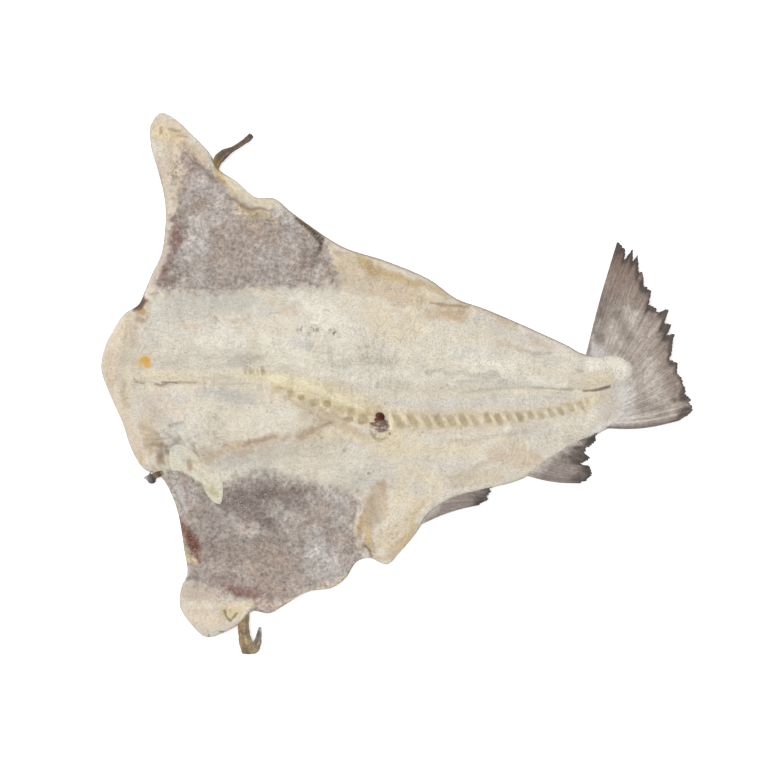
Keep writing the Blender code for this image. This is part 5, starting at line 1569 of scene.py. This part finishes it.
def make_dorsal(name, start, end, wide, material, seed):
    """A back fin folded flat under the fish, its rays running toward the tail."""
    rng = np.random.default_rng(seed)
    start, end = np.array(start, float), np.array(end, float)
    run = end - start
    side = np.array([-run[1], run[0]]) / np.linalg.norm(run)
    columns = DORSAL_RAYS * 2 + 1
    shares = np.linspace(-1, 1, columns)
    fray = rng.uniform(0, 0.05, columns)
    ray = np.where(np.arange(columns) % 2 == 0, DORSAL_SKIN, 1.0)

    def row(part, face):
        width = wide * math.sin(math.pi * min(1, 0.06 + part * 0.94)) ** 0.45 * (1 - 0.5 * part)
        xy = start + run * (part * (1 - fray))[:, None] + side * (shares * width)[:, None]
        middle = DORSAL_HEIGHT[0] + DORSAL_HEIGHT[1] * math.sin(math.pi * part)
        tint = blend(evenly(FIN_MID, columns), FIN_DARK, np.full(columns, 0.35 + 0.5 * part))
        return np.column_stack([xy, middle + face * DORSAL_HALF_THICK * ray]), tint

    ray_sheet(name, row, DORSAL_STEPS, shares * DORSAL_RAYS / 2, material, seed, turned_over=True)


# Scene, in metres, with the lens and its sensor in millimetres.

WHITE = (1.0, 1.0, 1.0, 1.0)
FLOOR_COLOUR = (0.93, 0.93, 0.93, 1.0)
FLOOR_REACH = 40.0
FLOOR_GAP = 0.0005
FLOOR_GLOW = 0.3
WORLD_LIGHT = 0.70
LAMP_PLACE = (-0.5, 0.5, 2.6)
LAMP_SIZE = 2.0
LAMP_POWER = 46.0


def add_world():
    """Even white light from all sides."""
    world = bpy.data.worlds.new("studio")
    world.use_nodes = True
    background = world.node_tree.nodes["Background"]
    background.inputs["Color"].default_value = WHITE
    background.inputs["Strength"].default_value = WORLD_LIGHT
    bpy.context.scene.world = world


def add_floor():
    """White paper under the fish."""
    mesh = bpy.data.meshes.new("floor")
    corners = [(x * FLOOR_REACH, y * FLOOR_REACH, 0) for x, y in ((-1, -1), (1, -1), (1, 1), (-1, 1))]
    mesh.from_pydata(corners, [], [(0, 1, 2, 3)])
    floor = bpy.data.objects.new("floor", mesh)
    paper = Shader("white_paper", 0.9, 0.5)
    paper.surface.inputs["Emission Color"].default_value = WHITE
    paper.surface.inputs["Emission Strength"].default_value = FLOOR_GLOW
    mesh.materials.append(paper.finish(FLOOR_COLOUR))
    bpy.context.scene.collection.objects.link(floor)
    floor.location.z = -FLOOR_GAP


def add_lamp():
    """A broad soft lamp overhead, turned to the middle of the fish."""
    data = bpy.data.lights.new("overhead", "AREA")
    data.shape = "SQUARE"
    data.size = LAMP_SIZE
    data.energy = LAMP_POWER
    lamp = bpy.data.objects.new("overhead", data)
    lamp.location = LAMP_PLACE
    lamp.rotation_euler = (-Vector(LAMP_PLACE)).to_track_quat("-Z", "Y").to_euler()
    bpy.context.scene.collection.objects.link(lamp)


VIEW_CENTRE = (-0.0122, 0.0)
LENS = 85.0
SENSOR = 36.0
VIEW_WIDTH = 0.7804
SUBJECT_HEIGHT = 0.010  # the level at which the view is that wide


def add_camera():
    """Straight above the fish."""
    data = bpy.data.cameras.new("camera")
    data.lens = LENS
    data.sensor_width = SENSOR
    camera = bpy.data.objects.new("camera", data)
    camera.location = (*VIEW_CENTRE, SUBJECT_HEIGHT + VIEW_WIDTH * LENS / SENSOR)
    bpy.context.scene.collection.objects.link(camera)
    bpy.context.scene.camera = camera


def main():
    """The whole scene, from the paper to the fins."""
    bpy.context.scene.view_settings.view_transform = "Standard"
    add_world()
    add_camera()
    add_floor()
    add_lamp()
    outline = smooth_curve(OUTLINE, OUTLINE_STEP, closed=True)
    plan = make_body(outline)
    top = plan.top()
    flesh = bpy.data.materials["dry_flesh"]
    make_membrane(outline, flesh)
    make_clot(plan, top, flesh)
    make_salt(plan, top, salt_material())
    fin = fin_material()
    for seed, (name, place) in enumerate(DORSAL_FINS.items(), 40):
        make_dorsal(name, *place, fin, seed)
    make_fan("tail_fin", TAIL_FIN, 36, fin, paint_tail, 11)
    make_fan("anal_fin_rear", REAR_ANAL_FIN, 24, fin, paint_anal, 12)
    make_fan("anal_fin_front", FRONT_ANAL_FIN, 20, fin, paint_anal, 13)
    make_strip("pelvic_fin_upper", UPPER_PELVIC, fin, PELVIC_UPPER_SHADES, 21)
    make_strip("pelvic_fin_lower", LOWER_PELVIC, fin, PELVIC_LOWER_SHADES, 22, PELVIC_LOWER_FAR_SHADES)
    make_strip("pelvic_fin_hook", LOWER_PELVIC_HOOK, fin, PELVIC_HOOK_SHADES, 23)
    make_strip("pectoral_fin_tip", PECTORAL_TIP, fin, PECTORAL_SHADES, 24, bundle=5, fray=0.45)


main()
